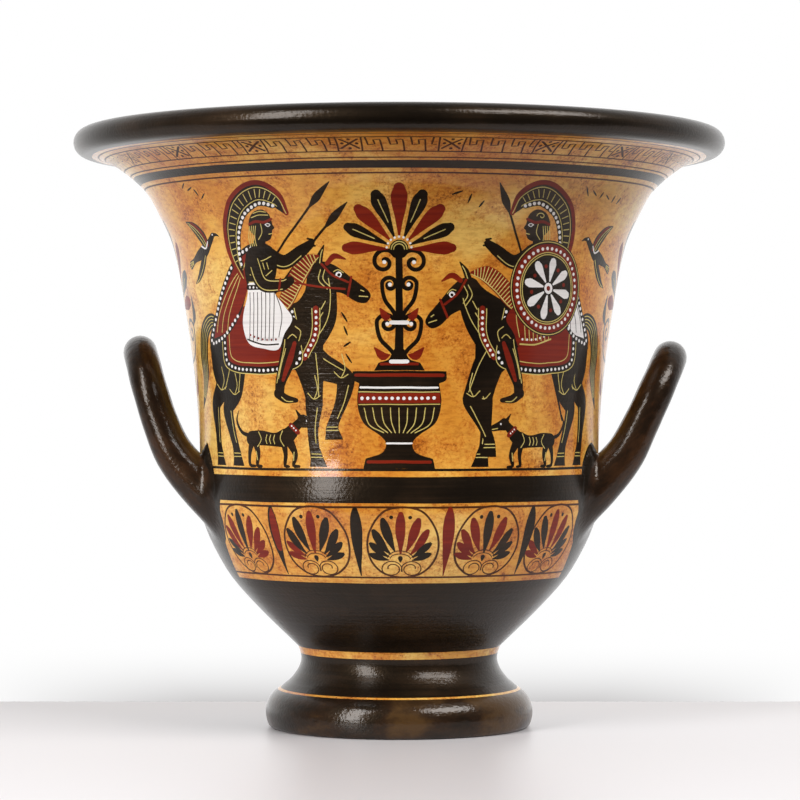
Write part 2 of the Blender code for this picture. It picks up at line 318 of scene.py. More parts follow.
def unsteady(points):
    """Moves points as a hand does that draws without a ruler."""
    moved = []
    for x, y in points:
        slow = noise.noise_vector(Vector((x / SLOW_WAVE, y / SLOW_WAVE, 3.7)))
        quick = noise.noise_vector(Vector((x / QUICK_WAVE, y / QUICK_WAVE, 8.1)))
        moved.append((x + UNSTEADY * (slow.x + 0.25 * quick.x), y + UNSTEADY * (slow.y + 0.25 * quick.y)))
    return np.array(moved)


def fine_edge(points, step):
    """Puts further points on an outline, so that it bends with the wall."""
    read = []
    for start, end in zip(points, np.roll(points, -1, axis=0)):
        steps = max(1, math.ceil(math.dist(start, end) / step))
        read.append(start + (end - start) * np.arange(steps)[:, None] / steps)
    return np.vstack(read)


def paint(outline, colour):
    """Adds a painted shape to the wall, over those already there, and again where it runs past the seam."""
    outline = fine_edge(unsteady(outline), COLUMN)
    for shift in (0.0, TURN, -TURN):
        moved = outline + (shift, 0.0)
        if moved[:, 0].max() > SEAM and moved[:, 0].min() < SEAM + TURN:
            painted.append((moved, colour))


def brush_outline(points, step, closed=False):
    """The outline that a brush leaves along (x, y, width) points."""
    line = smooth_path(points, step, closed)
    if closed:
        line = np.vstack([line, line[:1]])
    middle, half = line[:, :2], line[:, 2:] / 2
    along = unit(np.gradient(middle, axis=0))
    side = np.stack([-along[:, 1], along[:, 0]], 1) * half
    if closed:
        return middle + side, (middle - side)[::-1]
    caps = []
    for place, size, first in ((0, half[0, 0], 90), (-1, half[-1, 0], -90)):
        facing = math.degrees(math.atan2(along[place, 1], along[place, 0])) + first
        caps.append(arc(middle[place], (size, size), facing, facing + 180, 2 + int(size * 2.2))[1:-1])
    return (np.vstack([caps[0], (middle - side), caps[1], (middle + side)[::-1]]),)


# The borders
# Traditional borders: a key meander with crossed boxes under the lip, and a row of palmettes in ovals.
# They are painted round the wall with a fine brush in dilute brown glaze, black glaze and burgundy.
MEANDER_FOOT = 242.7
MEANDER_TOP = 252.2
BOXES = 19
BOX_TURN = 360.0 / BOXES
FIRST_BOX = 9.7
BOX_HALF = 2.4
BOX_LEAN = 0.15
BOX_DOT_ASIDE = 1.4
BOX_DOT_RISE = (1.6, 4.9, 8.0)
CROSS_HALF = BOX_HALF - 0.7
CROSS_ENDS = (0.86, 0.16)
CROSS_WIDTH = 0.9
FIRST_KEY = 0.75
KEY_PITCH = 4.1
KEY_WIDTH = 0.62
KEY = ((0.0, 1.0), (0.33, 0.41), (1.6, 0.45), (1.4, 0.78), (2.6, 0.8), (3.0, 0.0))
HALF_KEY = ((0.0, 1.0), (-0.1, 0.43), (0.75, 0.43))
PALMETTE_FOOT = 49.2
PALMETTES = ((-50.6, "DDRRDRRRR"), (-24.5, "RRDDRDDDD"), (1.1, "DDDDRRRDD"), (26.2, "RRRRDRDDD"),
             (50.2, "RRDDRRDDD"))
SPINDLES = ((-37.5, "E"), (-11.9, "D"), (13.8, "R"), (39.4, "D"))
OVAL = ((0.0, 33.7), (8.6, 31.4), (14.2, 23.5), (15.5, 15.5), (13.4, 7.6), (8.6, 2.2), (3.4, 0.1))
PETALS = ((0, 0, 22.9, 4.4), (30, 22, 21.4, 4.3), (56, 40, 19.0, 3.7), (73, 58, 15.8, 3.3),
          (90, 77, 13.7, 3.2))
PETAL_SHAPE = ((0, 0.18), (0.2, 0.52), (0.45, 0.93), (0.65, 1.0), (0.82, 0.88), (0.95, 0.55))
PETAL_ROOT = 5.2
MIDDLE_PETAL_ROOT = 3.2
FAN_FOOT = 8.6
FAN_ASIDE = -1.1
FAN_DOTS = (4.1, 20.4)
VOLUTE_ASIDE = 4.3
VOLUTE_RISE = 4.2
VOLUTE_SIZE = 3.8
VOLUTE_BREADTH = 1.16
VOLUTE_STEPS = 15
VOLUTE_TURN = 40
PANEL_FOOT = (21.8, 44.0)
PANEL_TOP = (31.2, 86.0)
CODES = {"D": DARK, "R": BURGUNDY, "E": DARK}
FINE = 0.42


class Hand:
    """The painter's hand, set over a line round the wall. It draws a figure's own millimetres there."""

    def __init__(self, face, x=0, y=0, size=1.0, turn=0.0, flip=1, foot=PICTURE_FOOT):
        self.face, self.spot, self.size = face, (x, y), size
        self.angle, self.flip, self.foot = turn, flip, foot
        angle = math.radians(turn)
        self.turn = np.array(((math.cos(angle), math.sin(angle)), (-math.sin(angle), math.cos(angle))))

    def place(self, points):
        """Turns the figure's own points, and any widths, into millimetres of the wall."""
        points = np.array(points, float)
        moved = (points[:, :2] * (self.flip, 1) * self.size) @ self.turn + self.spot
        return np.hstack([moved, points[:, 2:] * self.size])

    def moved(self, x, y, size=1.0, turn=0.0):
        """The same hand set at another place of its own figure, to draw at another size or turned there."""
        turn = self.angle + turn * self.flip
        return Hand(self.face, *self.place([(x, y)])[0], self.size * size, turn, self.flip, self.foot)

    def fill(self, outline, colour):
        """Paints an outline that is in millimetres of the wall."""
        length = self.foot + outline[:, 1]
        radius = bell_at(np.clip(length, 0, WALL_TOP))[0]
        across = (math.radians(self.face) + outline[:, 0] / radius) * FLAT_RADIUS
        paint(np.stack([across, length], 1), colour)

    def stroke(self, points, colour=DARK, step=1.1):
        """A stroke of the brush along (x, y, width) points."""
        for outline in brush_outline(self.place(points), step):
            self.fill(outline, colour)

    def patch(self, points, colour=DARK):
        """A filled shape with a smooth edge through points."""
        self.fill(smooth_path(self.place(points), 1.1, closed=True), colour)

    def ring(self, points, colour, inside_colour):
        """A closed line, with what lies inside it painted again in its own colour."""
        for outline, own in zip(brush_outline(self.place(points), 1.2, closed=True), (colour, inside_colour)):
            self.fill(outline, own)

    def line(self, points, colour=INCISED, width=FINE, step=1.5):
        """A line of one width, which stays the same at any size of the figure."""
        self.stroke([(x, y, width / self.size) for x, y in points], colour, step)

    def lines(self, *lines):
        """Several fine scratched lines."""
        for points in lines:
            self.line(points)

    def dot(self, x, y, radius, colour, sides=8):
        """A round dot."""
        self.fill(self.place(arc((x, y), (radius, radius), 0, 360, sides)[:-1]), colour)

    def dots(self, points, gap, radius=0.75, colour=WHITE):
        """A row of dots along a line, the same gap apart."""
        line = smooth_path(points, 0.3)
        lengths = lengths_along(line[:, :2])
        for length in np.arange(gap / 2, lengths[-1], gap):
            x, y = (np.interp(length, lengths, line[:, axis]) for axis in (0, 1))
            self.dot(x, y, radius, colour, 7)

    def band(self, points, colour, width, gap, radius):
        """A band with white dots along it."""
        self.line(points, colour, width)
        self.dots(points, gap, radius)


def meander_stroke(corners, start, width=KEY_WIDTH):
    """A stroke of the meander through corners given in degrees and shares of the border's height."""
    height = MEANDER_TOP - MEANDER_FOOT
    points = []
    for degrees, share in corners:
        spot = (math.radians(start + degrees) * FLAT_RADIUS, MEANDER_FOOT + share * height, width)
        points += [spot, spot]
    for outline in brush_outline(points, 1.5):
        paint(outline, BROWN_LINE)


def box_dot(degrees, height):
    """A dot between the arms of a box's cross."""
    Hand(degrees, foot=MEANDER_FOOT).dot(0.0, height, 0.8, BROWN_LINE, 9)


for box in range(BOXES):
    start = FIRST_BOX + box * BOX_TURN
    for side in (-1, 1):
        meander_stroke(((side * BOX_HALF, 1.0), (side * (BOX_HALF - BOX_LEAN), 0.0)), start)
        cross = ((side * CROSS_HALF, CROSS_ENDS[0]), (-side * CROSS_HALF, CROSS_ENDS[1]))
        meander_stroke(cross, start, CROSS_WIDTH)
        box_dot(start + side * BOX_DOT_ASIDE, BOX_DOT_RISE[1])
    box_dot(start, BOX_DOT_RISE[0])
    box_dot(start, BOX_DOT_RISE[2])
    for key, corners in enumerate((KEY, KEY, KEY, HALF_KEY)):
        meander_stroke(corners, start + BOX_HALF + FIRST_KEY + key * KEY_PITCH)


def palmette(middle, colours):
    """One oval with its fan of nine petals over a pair of volutes."""
    hand = Hand(middle, foot=PALMETTE_FOOT)
    hand.ring([(x, y, 0.95) for x, y in OVAL] + [(-x, y, 0.95) for x, y in OVAL[:0:-1]], BROWN_LINE, OCHRE)
    for place, code in enumerate(colours):
        foot_turn, tip_turn, reach, width = PETALS[abs(place - 4)]
        side = 1 if place > 4 else -1
        start = MIDDLE_PETAL_ROOT if place == 4 else PETAL_ROOT
        petal = []
        for share, fullness in PETAL_SHAPE:
            turn = math.radians(side * (tip_turn + (foot_turn - tip_turn) * (1 - share) ** 1.5))
            far = start + (reach - start) * share
            petal.append((FAN_ASIDE + far * math.sin(turn), FAN_FOOT + far * math.cos(turn),
                          width * fullness))
        hand.stroke(petal, CODES[code], 0.9)
    for side in (-1, 1):
        hand.dot(FAN_ASIDE + side * FAN_DOTS[0], FAN_FOOT + FAN_DOTS[1], 0.9, DARK, 9)
        volute = []
        for step in range(VOLUTE_STEPS):
            turn = math.radians(110 * side + 90) - side * math.radians(step * VOLUTE_TURN)
            size = VOLUTE_SIZE * (1 - 0.75 * (step / VOLUTE_STEPS) ** 2.5)
            x = FAN_ASIDE / 2 + side * VOLUTE_ASIDE + VOLUTE_BREADTH * size * math.cos(turn)
            volute.append((x, VOLUTE_RISE + size * math.sin(turn)))
        hand.line(volute, BROWN_LINE, 0.55, 0.9)
    for size in ((4.6, 2.7), (5.8, 4.2)):
        hand.line(arc((FAN_ASIDE, FAN_FOOT + 0.4), size, 170, 10, 8), BROWN_LINE, 0.45, 1.0)
    heart = ((-0.8, 0.7), (0.4, 1.9), (1.1, 2.2))
    hand.stroke([(FAN_ASIDE, FAN_FOOT + rise, width) for rise, width in heart], DARK, 0.7)


def spindle(middle, code):
    """A tall leaf between two ovals, widest above its middle. E is a dark one edged with burgundy."""
    hand = Hand(middle, foot=PALMETTE_FOOT)
    leaf = ((0.0, 32.4, 2.4), (0.0, 29.0, 4.4), (0.0, 23.0, 5.4), (0.0, 14.0, 3.9), (0.0, 5.0, 1.5),
            (0.0, 0.4, 0.5))
    hand.stroke(leaf, CODES[code], 0.7)
    if code == "E":
        hand.stroke([(x + 0.3, y - 0.4, w - 1.2) for x, y, w in leaf[:4]], BURGUNDY, 0.7)


for face in (0, 180):
    for middle, colours in PALMETTES:
        palmette(face + middle, colours)
    for middle, code in SPINDLES:
        spindle(face + middle, code)
    side_angle = math.radians(face + 90)
    foot_edge, top_edge = math.radians(PANEL_FOOT[0]), math.radians(PANEL_TOP[0])
    panel = ((side_angle - top_edge, PANEL_TOP[1]), (side_angle + top_edge, PANEL_TOP[1]),
             (side_angle + foot_edge, PANEL_FOOT[1]), (side_angle - foot_edge, PANEL_FOOT[1]))
    paint(np.array([(angle * FLAT_RADIUS, length) for angle, length in panel]), DARK)

# The pictures
# Black-figure pictures in the panels between the borders: brush-drawn silhouettes in dark glaze,
# burgundy and white laid over them, and fine pale lines scratched through the glaze for the details.
ON_CLOTH = {WHITE: (DARK, BURGUNDY), BURGUNDY: (INCISED, WHITE)}
TREE_LEAF = ((0.2, 0.12), (0.45, 0.5), (0.68, 0.9), (0.84, 1.0), (0.94, 0.7))


def beside(points, share, step=1.6):
    """The line that runs along a stroke, at a share of its half width to the left of its middle."""
    line = smooth_path(points, step)
    along = unit(np.gradient(line[:, :2], axis=0))
    return line[:, :2] + np.stack([-along[:, 1], along[:, 0]], 1) * line[:, 2:] / 2 * share


def sharp(*corners):
    """Corners that an outline doesn't round off."""
    return [corner for corner in corners for _ in range(2)]


def leg(hand, points):
    """A horse's leg from the body down, with its hoof, and fine lines along it and over the hoof."""
    hand.stroke(points)
    hoof = hand.moved(*points[-1][:2])
    hoof.patch(sharp((-2.6, 0.6), (2.6, 0.6), (5.0, -4.6), (-3.0, -4.6)))
    hoof.lines(((-2.4, -0.6), (2.8, -0.6)), ((-2.2, 0.8), (2.4, 0.8)))
    x, y, width = points[2]
    hand.lines(((x + width * 0.05, y + 9), (x + width * 0.2, y + 3), (x, y - 1)),
               ((x - width * 0.35, y + 1.5), (x, y - 1), (x + width * 0.35, y + 0.5)),
               beside(points[3:6], 0.4)[1:-1], beside(points[:3], 0.55)[2:])


def horse(hand, near_fore, far_fore, near_hind, far_hind, head):
    """A horse facing right, drawn with legs in a given stride. head moves its head and upper neck."""
    dx, dy = head
    leg(hand, far_hind)
    leg(hand, far_fore)
    tail = ((-30, 60, 5), (-36, 63, 6.6), (-43, 59, 8.4), (-46.4, 50, 8.8), (-46, 40, 7.2), (-48.6, 31, 4),
            (-52, 25, 0.6))
    hand.stroke(tail)
    for share in (-0.6, -0.2, 0.2, 0.6):
        hand.line(beside(tail, share)[4:-4])
    hand.stroke(((-27, 54.5, 19), (-20, 54.5, 28), (-8, 52.5, 24), (4, 52.5, 23.5), (13, 54.5, 26),
                 (18.6, 56.5, 20)))
    neck = ((16, 56, 25), (24, 64, 20.5), (29 + dx * 0.4, 73 + dy * 0.4, 15), (32 + dx, 82 + dy, 11.5))
    hand.stroke(neck)
    muzzle = hand.moved(34 + dx, 84 + dy, 1.1, (dy - dx) * 1.2)
    muzzle.patch(((-5.5, 1.5), (-1.5, 3.6), (4, 1.6), (10, -3.6), (15.6, -8.6), (17, -11.4), (15, -13.8),
                  (11.6, -13.2), (7, -9.8), (3.4, -8.6), (-0.5, -8.2), (-4.5, -4)))
    muzzle.stroke(((-2, 2.5, 2.6), (-1.2, 6, 2.4), (0.6, 9.6, 0.5)))
    muzzle.line(((-1.6, 3.0), (-0.9, 6.4), (-0.1, 8)))
    muzzle.stroke(((1.2, 2.6, 1.8), (4.4, 5, 2.2), (8.6, 3.4, 0.6)), BURGUNDY)
    leg(hand, near_hind)
    leg(hand, near_fore)
    mane = ((31 + dx, 90 + dy, 1.5), (24 + dx * 0.6, 87 + dy * 0.7, 7), (17 + dx * 0.3, 79 + dy * 0.3, 8),
            (10.6, 70, 7), (6, 64.5, 2))
    hand.stroke(mane, BURGUNDY)
    hand.line(beside(mane, 0.82))
    for root, tip in zip(beside(mane, 0.85)[1:-1], beside(mane, -0.9)[1:-1]):
        hand.line((root, tip), step=2.0)
    hand.lines(((9, 66), (6.5, 57), (9, 48), (15, 43.5)), ((10.6, 65), (8.4, 57), (10.6, 49), (15.6, 45.4)),
               ((-13, 42.6), (-3, 42.0), (8, 42.4)), ((-16, 65.5), (-12, 57), (-15, 48), (-21, 42)),
               ((-24, 62), (-27, 56), (-26, 49)), ((-21, 60), (-23.4, 55), (-22.6, 50)),
               beside(neck, -0.62)[1:-1])
    for shift in (0.0, 2.4, 4.8):
        hand.line(((24.5 + shift * 0.6, 57 + shift * 2), (27 + shift * 0.5, 60.4 + shift * 2)))
    muzzle.lines(((-1.5, 0.5), (-2.6, -3.5), (0.6, -7.2)), ((0.2, 0.4), (-0.8, -3.2), (1.6, -6.2)),
                 ((15.8, -11.6), (12.6, -11.0)), ((13.4, -8.8), (14.6, -9.4)))
    muzzle.dot(5.4, -2.2, 1.25, WHITE)
    muzzle.dot(5.5, -2.3, 0.65, DARK)
    muzzle.line(((3.6, -0.8), (5.2, -0.2), (7.2, -1.6)))
    muzzle.line(((-1, 2.6), (3, -2), (8.8, -5.4)), BURGUNDY, 1.0)
    muzzle.line(((10.2, -3.4), (8.4, -10.6)), BURGUNDY, 1.0)
    strap = ((19.6, 46.5), (24.6, 56), (25, 67))
    hand.band(strap, BURGUNDY, 2.6, 2.4, 0.7)
    for aside in (-1.8, 1.8):
        hand.line([(x + aside, y) for x, y in strap])
    cloth = ((-25, 67), (-26, 56), (-24, 44.6), (-24, 44.6), (-8, 41.4), (8, 42), (17, 45.4), (17, 45.4),
             (16, 56), (14, 66))
    hand.patch(cloth, BURGUNDY)
    edge = cloth[:3] + cloth[4:7] + cloth[8:]
    hand.band(edge, DARK, 3.2, 2.5, 0.72)
    hand.line([(x * 0.84 - 0.6, 55 + (y - 55) * 0.78) for x, y in edge])
    hand.line([(x * 1.07, 55 + (y - 55) * 1.12) for x, y in edge])


def helmet(hand, spiral):
    """A head in profile under a helmet with a broad crest, with its neck's foot at the origin."""
    hand.stroke(((-0.5, -2, 6.5), (0.4, 3, 5.4)))
    hand.patch(((-4.6, 6.5), (-4.8, 10), (-2.6, 13.6), (1.6, 14.6), (5, 12.6), (6, 10.2), (6.4, 8.6),
                (7.4, 7), (6.4, 6.2), (6.2, 4.6), (5.2, 2.6), (2.4, 1.8), (0, 2.6)))
    crest = ((-8.6, -12, 0.8), (-13, -3, 5.6), (-14, 7, 9.4), (-10, 16.4, 10.8), (-1, 21.4, 10.4),
             (7.6, 18.6, 6.6), (12.4, 12.6, 0.8))
    hand.stroke(crest, DARK, 0.9)
    hand.line(beside(crest, 0.86), BURGUNDY, 2.3)
    hand.line(beside(crest, 0.46))
    for start, end in list(zip(beside(crest, 0.3, 2.6), beside(crest, -0.35, 2.6)))[3:-3]:
        hand.line((start, end), step=3.0)
    hand.band(beside(crest, -0.86)[3:-4], DARK, 2.6, 2.1, 0.78)
    hand.line(beside(crest, -0.55)[3:-3])
    hand.line(((-4.6, 8.8), (-1.5, 9.8), (2.4, 9.4), (6.0, 10.6)), BURGUNDY, 1.3)
    if spiral:
        hand.line([(-0.6 + (2.2 - a * 0.3) * math.cos(a), 12.0 + (1.5 - a * 0.2) * math.sin(a))
                   for a in np.linspace(0, 6, 12)])
    else:
        hand.lines(((-3.6, 11.4), (0, 12.4), (4.6, 12.2)), ((-2.6, 13.2), (0.4, 13.9), (3.6, 13.4)))
    hand.line(((0.8, 8.8), (1.4, 5.4), (-0.4, 2.6)))
    hand.line(((3.0, 8.5), (4.2, 8.9), (5.4, 8.3), (4.2, 7.7), (3.0, 8.5)), WHITE, 0.4)
    hand.line(((4.6, 4.6), (6.2, 4.9)))
    for x in (-4.6, -3.6, -2.6, -1.6):
        hand.line(((x, 8), (x - 0.6, 3.6), (x + 0.2, 0.2)))


def bare_head(hand):
    """A bearded head in profile with a wreath, on its own origin at the neck's foot."""
    hand.stroke(((-0.5, -2, 6.5), (0.4, 3, 5.6)))
    hand.patch(((-6.4, 3.5), (-6.2, 10), (-3, 14), (1.6, 14.8), (5, 12.8), (6, 10.4), (6.4, 8.8), (7.4, 7.2),
                (6.4, 6.2), (7.2, 3.2), (6.2, -0.6), (3.2, 0.4), (0, 2.6), (-3, 1.2)))
    hand.band(((-6.2, 9.4), (-2.5, 11.4), (1.8, 11.8), (5.8, 10.6)), BURGUNDY, 1.5, 2.2, 0.5)
    hand.line(((-0.4, 9.6), (0.2, 5.6), (2.6, 3.6), (5.4, 3.8)))
    hand.dot(4.2, 8.6, 0.62, INCISED, 6)
    for x in (-5, -3.4, -1.8):
        hand.line(((x, 8.4), (x - 0.3, 5), (x + 0.2, 2.6)))


def round_shield(hand, x, y):
    """A round shield with a dotted rim, and eight petals about its middle."""
    for reach, colour, sides in ((18.6, DARK, 44), (17.2, BURGUNDY, 40), (13.6, DARK, 36)):
        hand.dot(x, y, reach, colour, sides)
    hand.dots(arc((x, y), (15.4, 15.4), 0, 360, 32), 2.42, 0.72)
    for petal in range(8):
        turn = math.radians(petal * 45 + 12)
        hand.stroke([(x + r * math.cos(turn), y + r * math.sin(turn), w)
                     for r, w in ((3, 0.8), (7, 2.6), (9.6, 3.6), (10.6, 3.0))], WHITE)
        turn += math.pi / 8
        hand.dot(x + 8.6 * math.cos(turn), y + 8.6 * math.sin(turn), 0.8, BURGUNDY)
    hand.dot(x, y, 2.2, WHITE, 12)
    hand.dot(x, y, 1.0, BURGUNDY, 10)
    for reach in (13.0, 13.8, 17.9):
        hand.line(arc((x, y), (reach, reach), 0, 360, 32))


def rider(hand, tunic, lining, shield):
    """A cloaked rider facing right, with the saddle at the origin. lining is the cloak's colour.

    A shield goes with a spiral on the helmet, and hides the near arm. Without one, that arm is drawn."""
    hand.patch(((2, 28), (-8, 26.4), (-19, 15), (-28, -1), (-33, -12), (-33, -12), (-22, -9), (-11, 0),
                (-5, 12), (1, 20)))
    hand.patch(((0, 25.6), (-8, 23.6), (-17.6, 13), (-25.4, -0.6), (-28.6, -8), (-28.6, -8), (-20.6, -6),
                (-10.6, 2.4), (-5, 12), (-1, 19)), lining)
    border = ((0, 26.9), (-8.2, 25.0), (-18.4, 14.0), (-26.8, -0.8), (-30.6, -9.6), (-21.4, -7.4),
              (-10.8, 1.2))
    hand.dots(border, 2.3, 0.72)
    for foot, bend in ((-26, 1.2), (-22.4, 0.4), (-18.6, -0.4)):
        hand.line(((-4 - (foot + 26) * 0.3, 22), (foot * 0.5 - 2, 12 + bend), (foot * 0.92, 1), (foot, -5.6)),
                  ON_CLOTH[lining][0])
    reins_arm = ((3, 25, 6.4), (12, 20.6, 5.8), (20, 25, 4.8), (23.4, 27.4, 3.4))
    hand.stroke(reins_arm)
    hand.line(beside(reins_arm[:3], -0.6)[1:-1])
    for finger in (-0.9, 0.3, 1.5):
        hand.line(((22.6 + finger * 0.5, 28.6 - finger), (24.8 + finger * 0.4, 28.2 - finger)), DARK, 0.9)
    hand.patch(((-7, 0), (-5.6, 9), (-7, 19), (-5, 25.6), (1, 28), (7, 26.4), (9, 20), (7.4, 11), (8.4, 2),
                (4, -3)))
    hand.patch(((3, 2), (11, 2), (18, -2), (20.4, -6.5), (19, -11), (13, -12), (4, -10)))
    shin = ((15.6, -7, 9.4), (14.6, -12, 8.2), (12.6, -18, 7.2), (9.6, -26, 4.6), (9.4, -29, 4.2))
    hand.stroke(shin)
    hand.patch(((-9, -2), (-5.8, 9), (-5, 13), (7, 13), (7.6, 9), (12, 4), (15.4, -1), (12, -6.6), (9, -12.6),
                (2, -12.4), (-6, -10)), tunic)
    hand.stroke(((8.6, -29.6, 4), (12, -31.6, 3.4), (17, -32.4, 1.8)))
    fold, spot = ON_CLOTH[tunic]
    for x in (-5.8, -3.8, -1.8, 0.2, 2.2, 4.2, 6.2):
        hand.line(((x + 1.2, 9.4), (x + 1.0, 0), (x + 0.4, -9.2)), fold)
    hand.line(((8.4, 8), (10.8, 1), (9.4, -8)), fold)
    hand.line(((-6.6, -8.6), (2, -10.8), (9.2, -10.6)), fold, 0.7)
    hand.dots(((-6, -6.6), (2, -8.8), (9, -8.8)), 2.2, 0.5, spot)
    hand.band(((-5.4, 11.4), (7.2, 11.4)), DARK, 2.2, 1.9, 0.5)
    hand.lines(((-4.8, 13.4), (6.8, 13.4)), ((-3.6, 24), (1, 21.4), (6.4, 23)),
               ((-4.6, 20), (-2, 17), (2.4, 17)), ((-4.2, 16.4), (-1, 14.8), (3, 15.4), (6.6, 17.6)))
    for x in (-1.8, 0.2, 2.2, 4.2):
        hand.line(((x, 20.6), (x + 0.8, 18.2)))
    hand.stroke(((16.4, -10.4, 1.6), (14, -17, 2.6), (11, -24.6, 1.4)), BURGUNDY)
    hand.lines(beside(shin, -0.7)[2:-2], ((18.2, -9.6), (19, -6), (16.6, -4)),
               ((13.4, -8.6), (15.4, -7.0), (17.2, -8.4)), ((12.4, -12.4), (10.4, -18), (8.9, -24)),
               ((10.2, -31), (12.6, -32.6), (15.4, -32.8)))
    helmet(hand.moved(1, 27), spiral=shield)
    if shield:
        round_shield(hand, -4.5, 11.0)
    else:
        arm = ((-3, 23, 6.8), (2, 13, 6.0), (11, 12, 4.8), (14.8, 13.6, 3.6))
        hand.stroke(arm)
        hand.lines(beside(arm, 0.66)[1:-1], beside(arm, -0.66)[2:-3])
        hand.line(((9.6, 10.0), (10.4, 14.4)), BURGUNDY, 1.0)


def hound(hand):
    """A lean hound standing, facing right."""
    for x, lean in ((-15, -1.5), (8, 1.0)):
        hand.stroke(((x, 13, 4.2), (x + lean, 7, 2.6), (x + lean * 0.6, 1.4, 2.0), (x + 3, 0.8, 1.4)))
    hand.stroke(((-17, 17, 2.2), (-23, 19, 1.9), (-27, 25, 1.4), (-25.4, 30, 0.5)))
    hand.stroke(((-15, 15.6, 8), (-8, 15.8, 8), (2, 15, 7), (9, 16, 9.6), (13, 18.4, 7)))
    hand.stroke(((11, 18, 7.4), (15.6, 22, 5.4), (18.6, 24.6, 5)))
    hand.patch(((16.4, 26.4), (20, 28.4), (23, 26.6), (28.6, 23.8), (29.4, 22.2), (27.6, 21), (23, 21.4),
                (18, 21.8)))
    hand.stroke(((18, 27, 2.4), (15.4, 30.6, 0.6)))
    for x, lean in ((-12, 2.2), (11.6, 3.4)):
        hand.stroke(((x, 14, 5.4), (x + lean, 7, 3.0), (x + lean * 0.7, 1.4, 2.2),
                     (x + lean + 2.4, 0.8, 1.5)))
    hand.band(((12.2, 22.6), (16.6, 18.8)), BURGUNDY, 2.2, 1.7, 0.5)
    hand.lines(((7, 19.6), (5.4, 15.4), (8, 11.6)), ((-9.6, 19), (-7.6, 15), (-10.4, 11)))
    for x in (-3.4, -0.8, 1.8):
        hand.line(((x, 17.4), (x - 0.8, 15), (x, 12.8)))
    hand.lines(((-11.4, 8.6), (-10.4, 4)), ((14.2, 8.6), (13.8, 4)), ((27.6, 22), (24, 22.6)))
    hand.dot(22, 25, 0.6, WHITE, 6)


def bird(hand):
    """A long-winged bird in flight, facing right."""
    far_wing = ((1, 0, 3.8), (-4, -6, 5), (-10, -10.5, 3.4), (-15, -12, 0.6))
    wing = ((4, 2, 4.6), (1, 8, 6.6), (-4.6, 14.4, 5.2), (-11, 19, 0.8))
    hand.stroke(far_wing)
    hand.stroke(((-17, -2, 4.6), (-12, -1, 3), (-6, 0, 5.4), (1, 1, 7), (7, 3.6, 4.2), (10.4, 6, 3.4)))
    hand.stroke(((10.6, 6.4, 2.6), (13.6, 5.8, 1.4), (15.6, 4.4, 0.4)))
    hand.stroke(wing)
    hand.line(beside(wing, -0.45)[:-3], BURGUNDY, 1.3)
    hand.lines(beside(wing, 0.0)[1:-1], beside(wing, 0.5)[1:-2], beside(far_wing, 0.3)[1:-1])
    hand.line(((5.2, 4.4), (2.4, 1.6), (-1.4, 3.8)), WHITE, 0.8)
    for y in (-3.2, -2.0, -0.8):
        hand.line(((-18.4, y), (-13.6, y * 0.5 - 0.4)))
    hand.dot(10.6, 6.6, 0.55, WHITE, 6)


def basin(hand):
    """A broad basin on a foot, with a dotted band and tongues, that the palmette tree grows from."""
    half = ((15.6, 0), (15.6, 0), (14.6, 4.4), (14.6, 4.4), (7.4, 7), (5.8, 11), (8.4, 14.4), (15.6, 20),
            (18.2, 28), (17.4, 37), (17.4, 37), (20.4, 38.6), (20.4, 42.4), (20.4, 42.4))
    hand.patch(half + tuple((-x, y) for x, y in half[::-1]))
    hand.line(((-19, 40.6), (19, 40.6)), BURGUNDY, 1.5)
    hand.line(((-16.8, 35.2), (16.8, 35.2)), WHITE, 0.9)
    hand.patch(sharp((-17.6, 32.8), (17.6, 32.8), (17.9, 28.4), (-17.9, 28.4)), BURGUNDY)
    hand.dots(((-17.4, 30.6), (17.4, 30.6)), 2.6, 0.8)
    hand.lines(((-17.6, 33.3), (17.6, 33.3)), ((-17.6, 27.9), (17.6, 27.9)))
    for x in np.linspace(-1, 1, 9):
        hand.line(((x * 15.2, 26.4), (x * 13.2, 20.4 - abs(x)), (x * 6.8, 15.6)))
    hand.line(((-13.6, 3.0), (13.6, 3.0)), BURGUNDY, 1.3)
    hand.line(((-5.6, 11), (5.6, 11)), WHITE, 0.8)


def fan(hand, y, reach, width, gap, shorter):
    """A fan of nine leaves round a point, the middle one upright and the outer ones shorter."""
    for leaf in range(-4, 5):
        turn = math.radians(leaf * gap)
        long = reach * (1 - shorter * abs(leaf))
        full = width * (1 - 0.05 * abs(leaf))
        colour = DARK if leaf % 2 else BURGUNDY
        hand.stroke([(long * s * math.sin(turn), y + long * s * math.cos(turn), w * full)
                     for s, w in TREE_LEAF], colour, 0.9)
        if colour == DARK:
            hand.line([(long * s * math.sin(turn), y + long * s * math.cos(turn)) for s in (0.45, 0.85)])


def curl(hand, stem, x, y, size, side, start, width):
    """A stem that ends in a spiral wound inward round a point, all in one stroke."""
    points = [(*spot, width) for spot in stem]
    for step in range(12):
        turn = math.radians(start + side * 40 * step)
        reach = size * (1 - 0.075 * step)
        points.append((x + reach * math.cos(turn), y + reach * math.sin(turn), width))
    hand.stroke(points, DARK, 0.8)


